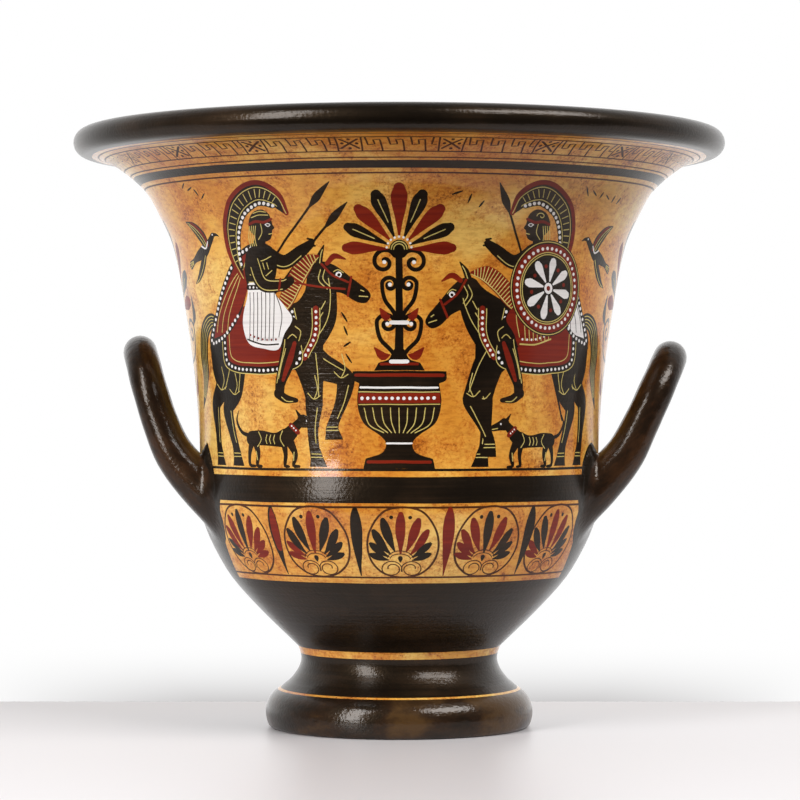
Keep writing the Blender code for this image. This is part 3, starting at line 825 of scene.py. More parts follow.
def tree(hand, foot, height, levels):
    """An upright palmette tree with volutes, buds and a fan of leaves at its top."""
    stem = [(4.5, 5.6), (2, 10), (-2, 10), (-4.5, 5.6)]
    outline = sharp((-11, 0.6), (11, 0.6), (9, 4)) + stem + sharp((-9, 4))
    hand.patch([(x, foot + y) for x, y in outline])
    hand.line(((-8, foot + 3.4), (8, foot + 3.4)), BURGUNDY, 1.2)
    middle = height * 0.8
    hand.stroke(((0, foot + 6, 4), (0, (foot + middle) / 2, 3.2), (0, middle, 3)))
    for y, spread in levels:
        for side in (-1, 1):
            stem = ((0, y - 9), (side * 4.6 * spread, y - 4), (side * 10.4 * spread, y + 1))
            curl(hand, stem, side * 6.6 * spread, y + 7.4, 5.8 * spread, side, 90 - 80 * side, 1.8)
            bud = ((side * 4, y - 6, 0.6), (side * 9 * spread, y - 6.6, 3.8),
                   (side * 13.6 * spread, y - 3, 0.8))
            hand.stroke(bud, BURGUNDY)
            hand.dot(side * 6.6 * spread, y + 7.4, 0.9, WHITE)
        hand.stroke(((-3.6, y - 9, 1.8), (3.6, y - 9, 1.8)), WHITE)
    for side in (-1, 1):
        curl(hand, (), side * 6.4, middle - 5.6, 5.8, -side, 90 + 60 * side, 1.8)
        hand.dot(side * 6.4, middle - 5.6, 0.9, WHITE)
    fan(hand, middle, height * 0.25, 7.0, 22, 0.045)
    hand.dot(0, middle, 4.2, DARK, 14)
    hand.dots(arc((0, middle), (5.4, 5.4), 0, 180, 8), 1.9, 0.55)
    for reach in (2.4, 3.4):
        hand.line(arc((0, middle), (reach, reach), 0, 180, 6))


def spear(hand, start, end):
    """A spear's shaft between two points, with its head beyond the second."""
    hand.line((start, end), DARK, 1.15)
    along = np.subtract(end, start) / math.dist(start, end)
    hand.stroke([(*(end + along * far), width) for far, width in ((-2, 1.2), (3, 3.6), (8, 2.2), (12, 0.4))])


def onlooker(hand, mantle, staff):
    """A standing draped figure facing right with a staff."""
    hand.line(((14, 0), (13.4, staff)), DARK, 1.2)
    hand.patch(((-7, 4), (-7, 4), (-8, 30), (-10, 58), (-9.4, 76), (-6, 84), (0, 87), (6, 83), (8.6, 74),
                (8, 58), (8, 30), (8, 4), (8, 4)))
    for x in (-3.4, 3.4):
        hand.stroke(((x, 6, 4), (x, 2, 3.8), (x + 3.4, 1.5, 2.8), (x + 6, 0.9, 1.4)))
    hand.patch(((-9, 30), (-10.2, 58), (-9.2, 76), (-4.6, 84.4), (2.4, 83), (4, 76), (8.6, 66), (8.6, 50),
                (8, 34), (7, 22), (4, 18), (-2, 24)), mantle)
    fold, spot = ON_CLOTH[mantle]
    for shift in range(5):
        hand.line(((-6.8 + shift * 2.8, 79 - shift * 2), (-7.0 + shift * 3, 56 - shift * 2),
                   (-6 + shift * 2.6, 30 - shift * 1.6)), fold)
    hand.line(((-8.8, 33), (-2, 26.6), (4, 20.6), (7, 24)), fold, 0.7)
    hand.dots(((-8.8, 36), (-2, 29.4), (4, 23.4), (7.6, 26.6)), 2.4, 0.55, spot)
    hand.stroke(((4, 77, 6), (10, 69, 5), (13.8, 72, 3.6)))
    hand.line(((6, 78), (10.2, 71.6), (12.6, 73)))
    for x in (-5, -1.6, 1.8, 5.2):
        hand.line(((x, 20 if x < 2 else 15), (x - 0.3, 12)))
    hand.line(((-6.6, 10), (7.6, 10)), BURGUNDY, 1.5)
    hand.dots(((-6.6, 7.2), (7.6, 7.2)), 2.2, 0.55)
    bare_head(hand.moved(0, 87))


def dabs(hand, start, end, count, seed):
    """A row of short dabs in place of writing, none of them a letter."""
    choice = np.random.default_rng(seed)
    for share in np.linspace(0, 1, count):
        x, y = (low + (high - low) * share for low, high in zip(start, end))
        turn = math.radians(choice.uniform(18, 72)) * choice.choice((-1, 1))
        reach = choice.uniform(1.7, 2.5)
        across, up = reach * math.sin(turn), reach * math.cos(turn)
        hand.stroke(((x - across, y - up, 0.5), (x, y, 1.0), (x + across, y + up, 0.5)))


# The front: two riders face each other across the basin, each with a hound below and a bird behind.
STANDING_FORE = ((20, 50, 17), (22.5, 40, 12), (24, 30, 8.2), (24, 27, 8), (23.4, 17, 5.2), (24, 9, 4.8),
                 (25, 5.2, 5.8))
RAISED_FORE = ((18, 49, 17), (27, 43, 12), (36, 39, 8.6), (38, 36.5, 8), (36, 27, 5.4), (33, 20, 4.8),
               (32, 16.6, 5.4))
BENT_FORE = ((18, 49, 17), (24, 41, 12), (29, 31, 8.6), (29.6, 28, 8), (25, 19, 5.4), (22, 12.6, 4.8),
             (21.4, 9.4, 5.4))
STANDING_HIND = ((-27, 52, 24), (-28.5, 42, 19), (-30, 34, 11.5), (-35.5, 27, 8.4), (-34.6, 16, 5.4),
                 (-33.6, 9, 5), (-32.6, 5.2, 6))
FORWARD_HIND = ((-22, 50, 23), (-20, 40, 16), (-20, 32, 10.4), (-25, 25, 8), (-22, 15, 5.4), (-19.6, 9, 4.8),
                (-18.6, 5.2, 5.8))
middle = Hand(0)
tree(middle, 42, 119, ((55.5, 0.78), (72.5, 0.6)))
basin(middle)
left = Hand(0, -63, 0, 1.04)
hound(left.moved(3, 0, 0.8))
spear(left, (-29, 45), (24, 112))
spear(left, (-23, 41), (31, 103))
horse(left, STANDING_FORE, RAISED_FORE, STANDING_HIND, FORWARD_HIND, (-5.0, -1.0))
left.line(((12, 79), (24, 76.5), (38, 75)), BURGUNDY, 0.9)
rider(left.moved(-3, 64, 1.1), WHITE, BURGUNDY, shield=False)
right = Hand(0, 63, 0, 1.04, 0, -1)
hound(right.moved(0, 0, 0.74))
spear(right, (-19, 20), (14, 110))
horse(right, BENT_FORE, STANDING_FORE, FORWARD_HIND, STANDING_HIND, (-1.0, -8.0))
rider(right.moved(-3, 64, 1.1), BURGUNDY, WHITE, shield=True)
bird(Hand(0, -103, 96, 0.9, 12))
bird(Hand(0, 105, 94, 0.9, -12, -1))
dabs(middle, (-112, 128), (-98, 122), 4, 1)
dabs(middle, (-24, 66), (-22, 48), 4, 2)
dabs(middle, (92, 124), (118, 121), 6, 3)
dabs(middle, (25, 121), (36, 116), 3, 4)

# The sides: an upright palmette on curling stems, over each handle.
for face in (-90, 90):
    hand = Hand(face, 0, 22)
    hand.stroke(((0, 1, 3.2), (0, 20, 2.4), (0, 48, 2.4)))
    for side in (-1, 1):
        begin = 90 - 80 * side
        curl(hand, ((0, 4), (side * 7, 1.6), (side * 14, 6)), side * 8.6, 15.6, 6.6, side, begin, 1.7)
        hand.stroke(((side * 15, 10, 1.0), (side * 19, 13, 4.2), (side * 20.5, 20, 1.0)), BURGUNDY)
        curl(hand, ((0, 27), (side * 12, 25.6), (side * 23, 29)), side * 22.6, 39, 6.6, side, begin, 1.6)
        hand.stroke(((side * 29, 42, 1.0), (side * 33, 47, 4.6), (side * 33, 55, 1.0)))
        curl(hand, (), side * 6.4, 44, 6.2, -side, 90 + 60 * side, 1.5)
    hand.stroke(((-5, 30, 1.8), (5, 30, 1.8)), WHITE)
    fan(hand, 50, 50, 8.4, 21, 0.1)
    hand.dot(0, 50, 4.6, DARK, 16)
    hand.line(arc((0, 50), (3.4, 3.4), 0, 180, 6))

# The back: four draped figures with staffs, beside a palmette tree.
middle = Hand(180)
tree(middle, 0, 119, ((22.6, 1.1), (45.2, 0.84)))
for x, mantle, staff in ((-46, BURGUNDY, 90), (-90, WHITE, 97), (46, WHITE, 86), (90, BURGUNDY, 98)):
    onlooker(Hand(180, x, 0, 1.14 - 0.0008 * abs(x), 0, 1 if x < 0 else -1), mantle, staff)
dabs(middle, (-72, 118), (-66, 84), 7, 5)
dabs(middle, (62, 116), (72, 90), 6, 6)

# The handles
# Two round bars of the same clay, bent into loops, luted to the wall by both ends and smoothed by hand.
# A small pad is pressed onto the wall above each root, and dark glaze is brushed over all of it.
LEG_LINE = ((87.0, 44.0), (91.0, 58.0), (97.0, 72.0), (104.0, 83.4), (111.5, 91.8))
LEFT_LINE = LEG_LINE + ((125.3, 103.6), (139.3, 110.0), (156.0, 115.4), (172.8, 119.9))
RIGHT_LINE = LEG_LINE + ((125.3, 104.0), (139.3, 111.5), (156.0, 119.2), (170.4, 125.4))
BAR_RADII = ((84.0, 11.4), (98.0, 11.0), (111.5, 10.2), (125.0, 9.0), (139.0, 8.1), (156.0, 7.8),
             (173.0, 7.7))
ROOT_SPREAD = 29.5
ROOT_HEIGHT = 84.0
LOOP_RADIUS = 24.0
HANDLE_ASKEW = 2.0
LEG_STEPS = 120
LOOP_STEPS = 48
BAR_SIDES = 28
ROOT_ROWS = 16
CLEAR_OF_WALL = 9.0
FILLET_ON_BAR = (7.0, 8.0)
FILLET_ON_WALL = (3.2, 6.0)
FILLET_STEPS = 13
HAND_WAVE = 0.18
WAVE_LENGTH = 11.0
SMOOTH_RINGS = 4
ROOT_GLAZE = (1.24, 1.07)
PAD_GLAZE_FOOT = 82.0
PAD_STEPS = np.r_[np.linspace(0, 0.9, 12), 0.95, 0.98, 0.995]
RIGHT_PAD_GLAZE = 1.25


def read_curve(points, places):
    """Reads the smooth curve through (place, value) points at some places."""
    line = smooth_path(points, 0.8)
    return np.interp(places, line[:, 0], line[:, 1])


def handle_line(line, side):
    """The bar's middle line from its front root to its back root, every millimetre or so, and its radius."""
    shoulder = line[-1][0] - LOOP_RADIUS
    share = np.linspace((line[0][0] - ROOT_HEIGHT) / (shoulder - ROOT_HEIGHT), 1, LEG_STEPS)
    leg = np.stack([-ROOT_SPREAD + (ROOT_SPREAD - LOOP_RADIUS) * share,
                    ROOT_HEIGHT + (shoulder - ROOT_HEIGHT) * share], 1)
    loop = arc((0.0, shoulder), (LOOP_RADIUS, LOOP_RADIUS), 180, 0, LOOP_STEPS)
    flat = np.vstack([leg[:-1], loop, (leg * (-1, 1))[::-1][1:]])
    reach = read_curve(line, flat[:, 1]) + HANDLE_ASKEW * flat[:, 0] / ROOT_SPREAD
    return np.stack([side * reach, flat[:, 0], flat[:, 1]], 1), read_curve(BAR_RADII, flat[:, 1])


def bar_grid(line, side):
    """The bar's surface as points[ring, side of the bar]."""
    middle, radius = handle_line(line, side)
    along = unit(np.gradient(middle, axis=0))
    outward = unit(np.array((side, 0.0, 0.0)) - along * along[:, :1] * side)
    sideways = np.cross(along, outward)
    return np.stack([middle + (outward * math.cos(turn) + sideways * math.sin(turn)) * radius[:, None]
                     for turn in np.linspace(0, 2 * math.pi, BAR_SIDES, endpoint=False)], 1)


def resampled(points, count):
    """The same line through points, read at even lengths."""
    lengths = lengths_along(points)
    places = np.linspace(0, lengths[-1], count)
    return np.stack([np.interp(places, lengths, points[:, axis]) for axis in range(3)], 1)


def grown(foot, by):
    """A root's outline on the flat drawing, grown about its middle."""
    centre = foot.mean(0)
    return centre + (foot - centre) * by


def root_of(grid, last):
    """Follows the bar's surface from ring number last down onto the wall, with a fillet all round.

    The fillet is a line that leaves the bar and lands on the wall in their own directions, and it is larger
    below the bar. Gives the rings from the bar to the wall, and the last one's places on the flat drawing."""
    crossings = []
    for column in range(BAR_SIDES):
        line = grid[:last + 1, column]
        wall_radius = np.interp(line[:, 2], bell[:, 1], bell[:, 0])
        outside = np.hypot(line[:, 0], line[:, 1]) - wall_radius
        ring = np.nonzero(outside < 0)[0].max()
        share = outside[ring] / (outside[ring] - outside[ring + 1])
        crossings.append((ring + share, line[ring] + (line[ring + 1] - line[ring]) * share))
    spots = np.array([spot for _, spot in crossings])
    lengths = np.interp(spots[:, 2], bell[:, 1], bell_lengths)
    radii = bell_at(lengths)[0]
    angles = np.arctan2(spots[:, 0], -spots[:, 1])
    angles = np.where(angles * FLAT_RADIUS < SEAM, angles + 2 * math.pi, angles)
    flat = np.stack([angles * radii, lengths], 1)
    away = unit(flat - flat.mean(0))
    lowness = np.clip(-away[:, 1], 0, 1)
    foot = flat + away * (FILLET_ON_WALL[0] + FILLET_ON_WALL[1] * lowness[:, None])
    on_drawing = np.stack([foot[:, 0] / radii * FLAT_RADIUS, foot[:, 1]], 1)
    foot_spots = wall_points(*on_drawing.T) / MM
    inward_spots = wall_points(*grown(on_drawing, 0.94).T) / MM
    columns = []
    for column in range(BAR_SIDES):
        place, spot = crossings[column]
        line = grid[math.ceil(place):last + 1, column][::-1]
        lift = FILLET_ON_BAR[0] + FILLET_ON_BAR[1] * lowness[column]
        keep = line[np.linalg.norm(line - spot, axis=1) > lift]
        start = keep[-1]
        landing = unit(foot_spots[column] - inward_spots[column])
        span = np.linalg.norm(foot_spots[column] - start)
        t = np.linspace(0, 1, FILLET_STEPS + 1)[1:, None]
        bend = curve_between(t, span, start, foot_spots[column], unit(start - keep[-2]), landing)
        columns.append(resampled(np.vstack([keep, bend]), ROOT_ROWS))
    return np.stack(columns, 1), on_drawing


def clear_ring(grid):
    """The first ring of the bar, counted from its front root, that is well clear of the wall."""
    wall_radius = np.interp(grid[:, :, 2], bell[:, 1], bell[:, 0])
    clearance = (np.hypot(grid[:, :, 0], grid[:, :, 1]) - wall_radius).min(1)
    return int(np.nonzero(clearance > CLEAR_OF_WALL)[0].min())


roots = []
handle_meshes = []
for name, line, side in (("left_handle", LEFT_LINE, -1), ("right_handle", RIGHT_LINE, 1)):
    grid = bar_grid(line, side)
    front_ring = clear_ring(grid)
    back_ring = clear_ring(grid[::-1])
    front, front_foot = root_of(grid, front_ring)
    back, back_foot = root_of(grid[::-1], back_ring)
    middle = grid[front_ring:len(grid) - back_ring]
    rings = np.concatenate([front[::-1][:-1], middle[::2][:-1], middle[-1:], back[1:]])
    waved = rings.copy()
    for ring in range(SMOOTH_RINGS, len(rings) - SMOOTH_RINGS):
        for column in range(BAR_SIDES):
            wave = noise.noise(Vector(rings[ring, column]) / WAVE_LENGTH) * HAND_WAVE
            waved[ring, column] += unit(rings[ring, column] - rings[ring].mean(0)) * wave
    mesh = bpy.data.meshes.new(name)
    point = np.arange(len(rings) * BAR_SIDES).reshape(-1, BAR_SIDES)
    after = np.roll(point, -1, axis=1)
    faces = np.stack([point[:-1], after[:-1], after[1:], point[1:]], -1).reshape(-1, 4)
    mesh.from_pydata(waved.reshape(-1, 3) * MM, [], faces.tolist())
    mesh.polygons.foreach_set("material_index", np.full(len(faces), BAR, np.int32))
    ring_of, column_of = np.divmod(point.ravel(), BAR_SIDES)
    map_part(mesh, np.stack([ring_of / len(rings), column_of / BAR_SIDES], 1))
    handle_meshes.append((name, mesh))
    roots += [front_foot, back_foot]

for foot in roots:
    paint(grown(foot, ROOT_GLAZE), DARK)
pads = []
creases = []
for degrees in (-90 - PAD_ANGLE, -90 + PAD_ANGLE, 90 - PAD_ANGLE, 90 + PAD_ANGLE):
    middle = math.radians(degrees) * FLAT_RADIUS
    pads.append(middle + TURN if middle < SEAM else middle)
    half = pad_half_width(PAD_STEPS, degrees < 0) * FLAT_RADIUS / PAD_REACH
    if degrees > 0:
        half *= RIGHT_PAD_GLAZE
    *lengths, tip = np.interp(PAD_FOOT + (PAD_TIP - PAD_FOOT) * np.r_[PAD_STEPS, 1], bell[:, 1], bell_lengths)
    right_edge = [(half[0], PAD_GLAZE_FOOT), *zip(half, lengths)]
    outline = right_edge + [(0.0, tip)] + [(-x, y) for x, y in right_edge[::-1]]
    creases.append(np.array(outline) + (pads[-1], 0.0))
    painted.append((creases[-1], DARK))


# The skin of the painted wall
# The clay wall under the paint. The drawing is laid on it, and every edge of paint becomes an edge of
# the mesh, which follows the wheel's rings and is finer on the pressed pads and in the flare.
ROW = 5.5
FLARE_FROM = 215.0
FLARE_ROW = 2.0
PAD_GRID_ACROSS = np.arange(-11.5, 11.6, 1.05)
PAD_GRID_UP = np.arange(72.0, 111.5, 1.15)
CREASE_STEP = 0.9
SAME_SPOT = 1e-5
ROOT_CLEARANCE = (1.09, 1.06)


def inside_outline(outline, spots):
    """Which spots lie inside an outline, by how often it winds round them."""
    x, y = spots[:, 0], spots[:, 1]
    winding = np.zeros(len(spots), int)
    for (ax, ay), (bx, by) in zip(outline, np.roll(outline, -1, axis=0)):
        left = (bx - ax) * (y - ay) - (x - ax) * (by - ay)
        winding += ((ay <= y) & (by > y) & (left > 0)).astype(int)
        winding -= ((by <= y) & (ay > y) & (left < 0)).astype(int)
    return winding != 0


def edge_line(length):
    """A painted line's edge right round the wall, a little unsteady, one point for each column."""
    columns = np.arange(AROUND + 1)
    angles = 2 * math.pi * columns / AROUND
    waver = [noise.noise(Vector((3 * math.cos(a), 3 * math.sin(a), length * 0.37))) for a in angles]
    return np.stack([SEAM + columns * COLUMN, length + UNSTEADY * np.array(waver)], 1)


band_edges = []
for low, high in GLAZE_BANDS:
    edges_of_band = (edge_line(low) if low > 0 else None, edge_line(high) if high < WALL_TOP else None)
    band_edges.append((*edges_of_band, DARK))
for low, high, colour in GLAZE_LINES:
    band_edges.append((edge_line(low), edge_line(low) + (0.0, high - low), colour))

spots = []
edges = []


def add_chain(points, closed=False):
    """Adds points to the mesh to come, each joined to the next by an edge that stays."""
    first = len(spots)
    spots.extend(map(tuple, points))
    edges.extend((first + step, first + step + 1) for step in range(len(points) - 1))
    if closed:
        edges.append((first + len(points) - 1, first))


def add_paint_edge(points):
    """Adds a painted edge, and leaves out what would run into a handle's root, where all is dark anyway."""
    hidden = np.any([inside_outline(grown(foot, ROOT_CLEARANCE), points) for foot in roots], axis=0)
    run = []
    for spot, ends in [*zip(points, hidden), (None, True)]:
        if not ends:
            run.append(spot)
        elif run:
            if len(run) > 1:
                add_chain(run)
            run = []


flare_rows = np.arange(FLARE_FROM, WALL_TOP - 0.5, FLARE_ROW)
rows = np.unique(np.r_[np.arange(0, FLARE_FROM, ROW), flare_rows, WALL_TOP])
columns = SEAM + COLUMN * np.arange(AROUND + 1)
add_chain([(x, 0.0) for x in columns[:-1]] + [(SEAM + TURN, row) for row in rows[:-1]]
          + [(x, WALL_TOP) for x in columns[:0:-1]] + [(SEAM, row) for row in rows[:0:-1]], closed=True)
for foot in roots:
    add_chain(foot, closed=True)
for lower_edge, upper_edge, _ in band_edges:
    for line in (lower_edge, upper_edge):
        if line is not None:
            add_paint_edge(line)
for outline, _ in painted:
    add_paint_edge(np.vstack([outline, outline[:1]]))
for outline in creases:
    add_paint_edge(fine_edge(outline, CREASE_STEP))
spots += [(x, row) for x in columns[1:-1] for row in rows[1:-1]]
spots += [(middle + x, y) for middle in pads for x in PAD_GRID_ACROSS for y in PAD_GRID_UP]

made = delaunay_2d_cdt([Vector(spot) for spot in spots], edges, [], 0, SAME_SPOT, False)
flat_spots = np.array([tuple(spot) for spot in made[0]])
triangles = np.array([tuple(face) for face in made[2]])
centres = flat_spots[triangles].mean(1)
kept = ((centres > (SEAM, 0.0)) & (centres < (SEAM + TURN, WALL_TOP))).all(axis=1)
for foot in roots:
    kept &= ~inside_outline(foot, centres)
triangles, centres = triangles[kept], centres[kept]
colour_of = np.full(len(triangles), OCHRE)
for lower_edge, upper_edge, colour in band_edges:
    above = centres[:, 1] > (0 if lower_edge is None else np.interp(centres[:, 0], *lower_edge.T))
    below = centres[:, 1] < (WALL_TOP if upper_edge is None else np.interp(centres[:, 0], *upper_edge.T))
    colour_of[above & below] = colour
order = np.argsort(centres[:, 0])
sorted_x = centres[order, 0]
for outline, colour in painted:
    first, last = np.searchsorted(sorted_x, (outline[:, 0].min(), outline[:, 0].max()))
    near = order[first:last]
    near = near[(centres[near, 1] > outline[:, 1].min()) & (centres[near, 1] < outline[:, 1].max())]
    colour_of[near[inside_outline(outline, centres[near])]] = colour
used, renumbered = np.unique(triangles, return_inverse=True)
triangles = renumbered.reshape(-1, 3)
flat_spots = flat_spots[used]

wall_mesh = bpy.data.meshes.new("painted_wall")
wall_mesh.from_pydata(list(map(tuple, wall_points(*flat_spots.T))), [], list(map(tuple, triangles)))
wall_mesh.polygons.foreach_set("material_index", colour_of.astype(np.int32))
map_part(wall_mesh, (flat_spots - (SEAM, 0.0)) / (TURN, WALL_TOP))
wall = bpy.data.objects.new("painted_wall", wall_mesh)
bpy.context.collection.objects.link(wall)
off_the_rims = (flat_spots[:, 1] > 0.01) & (flat_spots[:, 1] < WALL_TOP - 0.01)
marks = wall_mesh.attributes.new("on_wall", "FLOAT", "POINT")
marks.data.foreach_set("value", off_the_rims.astype(np.float32))
true_normals = wall_mesh.attributes.new("wall_normal", "FLOAT_VECTOR", "POINT")
true_normals.data.foreach_set("vector", wall_normals(*flat_spots.T).astype(np.float32).ravel())

# The glazes
# Ochre slip toned with rust, a brushed iron glaze fired black, and burgundy and white clay paints over it.
# A clear varnish lies over all of them. The finishes stand in the order of the colour numbers.
# Sizes of streaks, clouds and specks are in millimetres. The clay's grain is finer in truth, and is drawn
# as coarse as it needs to be to show.
ROUND_THE_POT = (62.5, 62.5, 1.613)
ALONG_THE_BAR = (12.5, 2.778, 2.778)
BAR_TILT = math.radians(38.0)
ROUND_THE_FOOT = (16.667, 16.667, 6.667)
SLIP_STREAKS = (4.762, 4.762, 1.5625)
SLIP_CLOUDS = 52.63
RUST_CLOUDS = 17.24
RUST_SPECKS = 1.22
GLAZE_CLOUDS = 35.71
GRAIN = 1.316
MULTIPLIED = {"data_type": "RGBA", "blend_type": "MULTIPLY"}
MIXED = {"data_type": "RGBA"}


def linear(hex_colour):
    """An sRGB hex colour as linear red, green, blue and alpha."""
    parts = [int(hex_colour[i:i + 2], 16) / 255 for i in (1, 3, 5)]
    return tuple(c / 12.92 if c <= 0.04045 else ((c + 0.055) / 1.055) ** 2.4 for c in parts) + (1.0,)


def node(tree, kind, inputs=(), stops=(), **settings):
    """Adds a node with its settings, and sets or links its inputs.

    stops are a colour ramp's, as (position, hex colour or strength of white light)."""
    made = tree.nodes.new(kind)
    for key, value in settings.items():
        setattr(made, key, value)
    for key, value in dict(inputs).items():
        if isinstance(value, bpy.types.NodeSocket):
            tree.links.new(value, made.inputs[key])
        else:
            made.inputs[key].default_value = value
    if stops:
        ramp = made.color_ramp.elements
        for element, (position, _) in zip(ramp, (stops[0], stops[-1])):
            element.position = position
        for position, _ in stops[1:-1]:
            ramp.new(position)
        for element, (_, colour) in zip(ramp, stops):
            element.color = linear(colour) if isinstance(colour, str) else (colour, colour, colour, 1.0)
    return made


def new_material(name, roughness, coat, coat_roughness, shine=0.5, sheen="#ffffff"):
    """A material with its shader, and the place on the pot that its patterns read."""
    material = bpy.data.materials.new(name)
    material.use_nodes = True
    tree = material.node_tree
    shader = tree.nodes["Principled BSDF"]
    shader.inputs["Roughness"].default_value = roughness
    shader.inputs["Coat Weight"].default_value = coat
    shader.inputs["Coat Roughness"].default_value = coat_roughness
    shader.inputs["IOR"].default_value = 1.5
    shader.inputs["Specular IOR Level"].default_value = shine
    shader.inputs["Specular Tint"].default_value = linear(sheen)
    place = node(tree, "ShaderNodeTexCoord").outputs["Object"]
    return material, tree, shader, place


def brushed(tree, place, streak, turn=(0.0, 0.0, 0.0)):
    """Streaks left by a brush, whose size in each direction is in millimetres."""
    turned_place = node(tree, "ShaderNodeMapping", {"Vector": place, "Rotation": turn})
    streaks = node(tree, "ShaderNodeMapping", {"Vector": turned_place.outputs["Vector"],
                                               "Scale": [1 / (size * MM) for size in streak]})
    return node(tree, "ShaderNodeTexNoise", {"Vector": streaks.outputs["Vector"], "Scale": 1.0, "Detail": 4.0,
                                             "Roughness": 0.6}).outputs["Fac"]


def roughened(tree, shader, place, streaks, streak_depth, grain_depth):
    """Lets the brush's streaks and the clay's grain catch the light. Depths are in millimetres."""
    grain = node(tree, "ShaderNodeTexNoise", {"Vector": place, "Scale": 1 / (GRAIN * MM),
                                              "Detail": 3.0})
    low = node(tree, "ShaderNodeBump", {"Height": streaks, "Distance": streak_depth * MM, "Strength": 1.0})
    both = node(tree, "ShaderNodeBump", {"Height": grain.outputs["Fac"], "Distance": grain_depth * MM,
                                         "Strength": 1.0, "Normal": low.outputs["Normal"]})
    for socket in ("Normal", "Coat Normal"):
        tree.links.new(both.outputs["Normal"], shader.inputs[socket])


def glaze(name, stops, roughness, coat, streak=ROUND_THE_POT, turn=(0.0, 0.0, 0.0), bar=False, ridges=0.13):
    """A dark glaze brushed on: thin streaks show browner, and the brush leaves fine ridges.

    On the bars of the handles, the brush's way is the same on both sides of the pot."""
    material, tree, shader, place = new_material(name, roughness, coat, 0.07, 0.2, "#ffd6ac")
    if bar:
        parts = node(tree, "ShaderNodeSeparateXYZ", {"Vector": place})
        out = node(tree, "ShaderNodeMath", {0: parts.outputs["X"]}, operation="ABSOLUTE")
        place = node(tree, "ShaderNodeCombineXYZ", {"X": out.outputs["Value"], "Y": parts.outputs["Y"],
                                                    "Z": parts.outputs["Z"]}).outputs["Vector"]
    streaks = brushed(tree, place, streak, turn)
    cloud = node(tree, "ShaderNodeTexNoise", {"Vector": place, "Scale": 1 / (GLAZE_CLOUDS * MM),
                                              "Detail": 5.0, "Roughness": 0.6})
    amount = node(tree, "ShaderNodeMix", {0: 0.65, 2: streaks, 3: cloud.outputs["Fac"]}, data_type="FLOAT")
    toned = node(tree, "ShaderNodeValToRGB", {"Fac": amount.outputs[0]}, stops)
    tree.links.new(toned.outputs["Color"], shader.inputs["Base Color"])
    roughened(tree, shader, place, streaks, ridges, 0.11)
    return material


def clay_paint(name, stops, roughness):
    """A flat colour laid on over the glaze, slightly uneven."""
    material, tree, shader, place = new_material(name, roughness, 0.3, 0.12, 0.12)
    streaks = brushed(tree, place, ROUND_THE_POT)
    toned = node(tree, "ShaderNodeValToRGB", {"Fac": streaks}, stops)
    tree.links.new(toned.outputs["Color"], shader.inputs["Base Color"])
    roughened(tree, shader, place, streaks, 0.06, 0.02)
    return material


def ochre_slip():
    """Yellow ochre slip brushed on and toned with rust in clouds and specks, so that the pot looks old."""
    material, tree, shader, place = new_material("ochre slip under varnish", 0.42, 0.7, 0.11, 0.14)
    broad = node(tree, "ShaderNodeTexNoise", {"Vector": place, "Scale": 1 / (SLIP_CLOUDS * MM),
                                              "Detail": 5.0, "Distortion": 0.6})
    clouds = node(tree, "ShaderNodeTexNoise", {"Vector": place, "Scale": 1 / (RUST_CLOUDS * MM),
                                               "Detail": 9.0, "Roughness": 0.7, "Distortion": 0.7})
    fine = node(tree, "ShaderNodeTexNoise", {"Vector": place, "Scale": 1 / (RUST_SPECKS * MM),
                                             "Detail": 4.0, "Roughness": 0.7})
    mottled = node(tree, "ShaderNodeMix", {0: 0.42, 2: clouds.outputs["Fac"], 3: fine.outputs["Fac"]},
                   data_type="FLOAT")
    streaks = brushed(tree, place, SLIP_STREAKS)
    ground = node(tree, "ShaderNodeValToRGB", {"Fac": broad.outputs["Fac"]},
                  ((0.36, "#d58d30"), (0.5, "#e6a948"), (0.64, "#f0c66c")))
    rust = node(tree, "ShaderNodeValToRGB", {"Fac": mottled.outputs[0]},
                ((0.38, "#a4561e"), (0.45, "#dd9c52"), (0.52, "#fffdf6")))
    toned = node(tree, "ShaderNodeMix", {0: 0.54, 6: ground.outputs["Color"], 7: rust.outputs["Color"]},
                 **MULTIPLIED)
    brushed_on = node(tree, "ShaderNodeValToRGB", {"Fac": streaks}, ((0.34, "#b97f45"), (0.56, "#ffffff")))
    toned = node(tree, "ShaderNodeMix", {0: 0.4, 6: toned.outputs[2], 7: brushed_on.outputs["Color"]},
                 **MULTIPLIED)
    aged = node(tree, "ShaderNodeMath", {0: fine.outputs["Fac"], 1: clouds.outputs["Fac"]},
                operation="MULTIPLY")
    specks = node(tree, "ShaderNodeValToRGB", {"Fac": aged.outputs["Value"]},
                  ((0.15, "#9c5620"), (0.18, "#ffffff")))
    toned = node(tree, "ShaderNodeMix", {0: 0.6, 6: toned.outputs[2], 7: specks.outputs["Color"]},
                 **MULTIPLIED)
    tree.links.new(toned.outputs[2], shader.inputs["Base Color"])
    roughened(tree, shader, place, streaks, 0.05, 0.02)
    return material


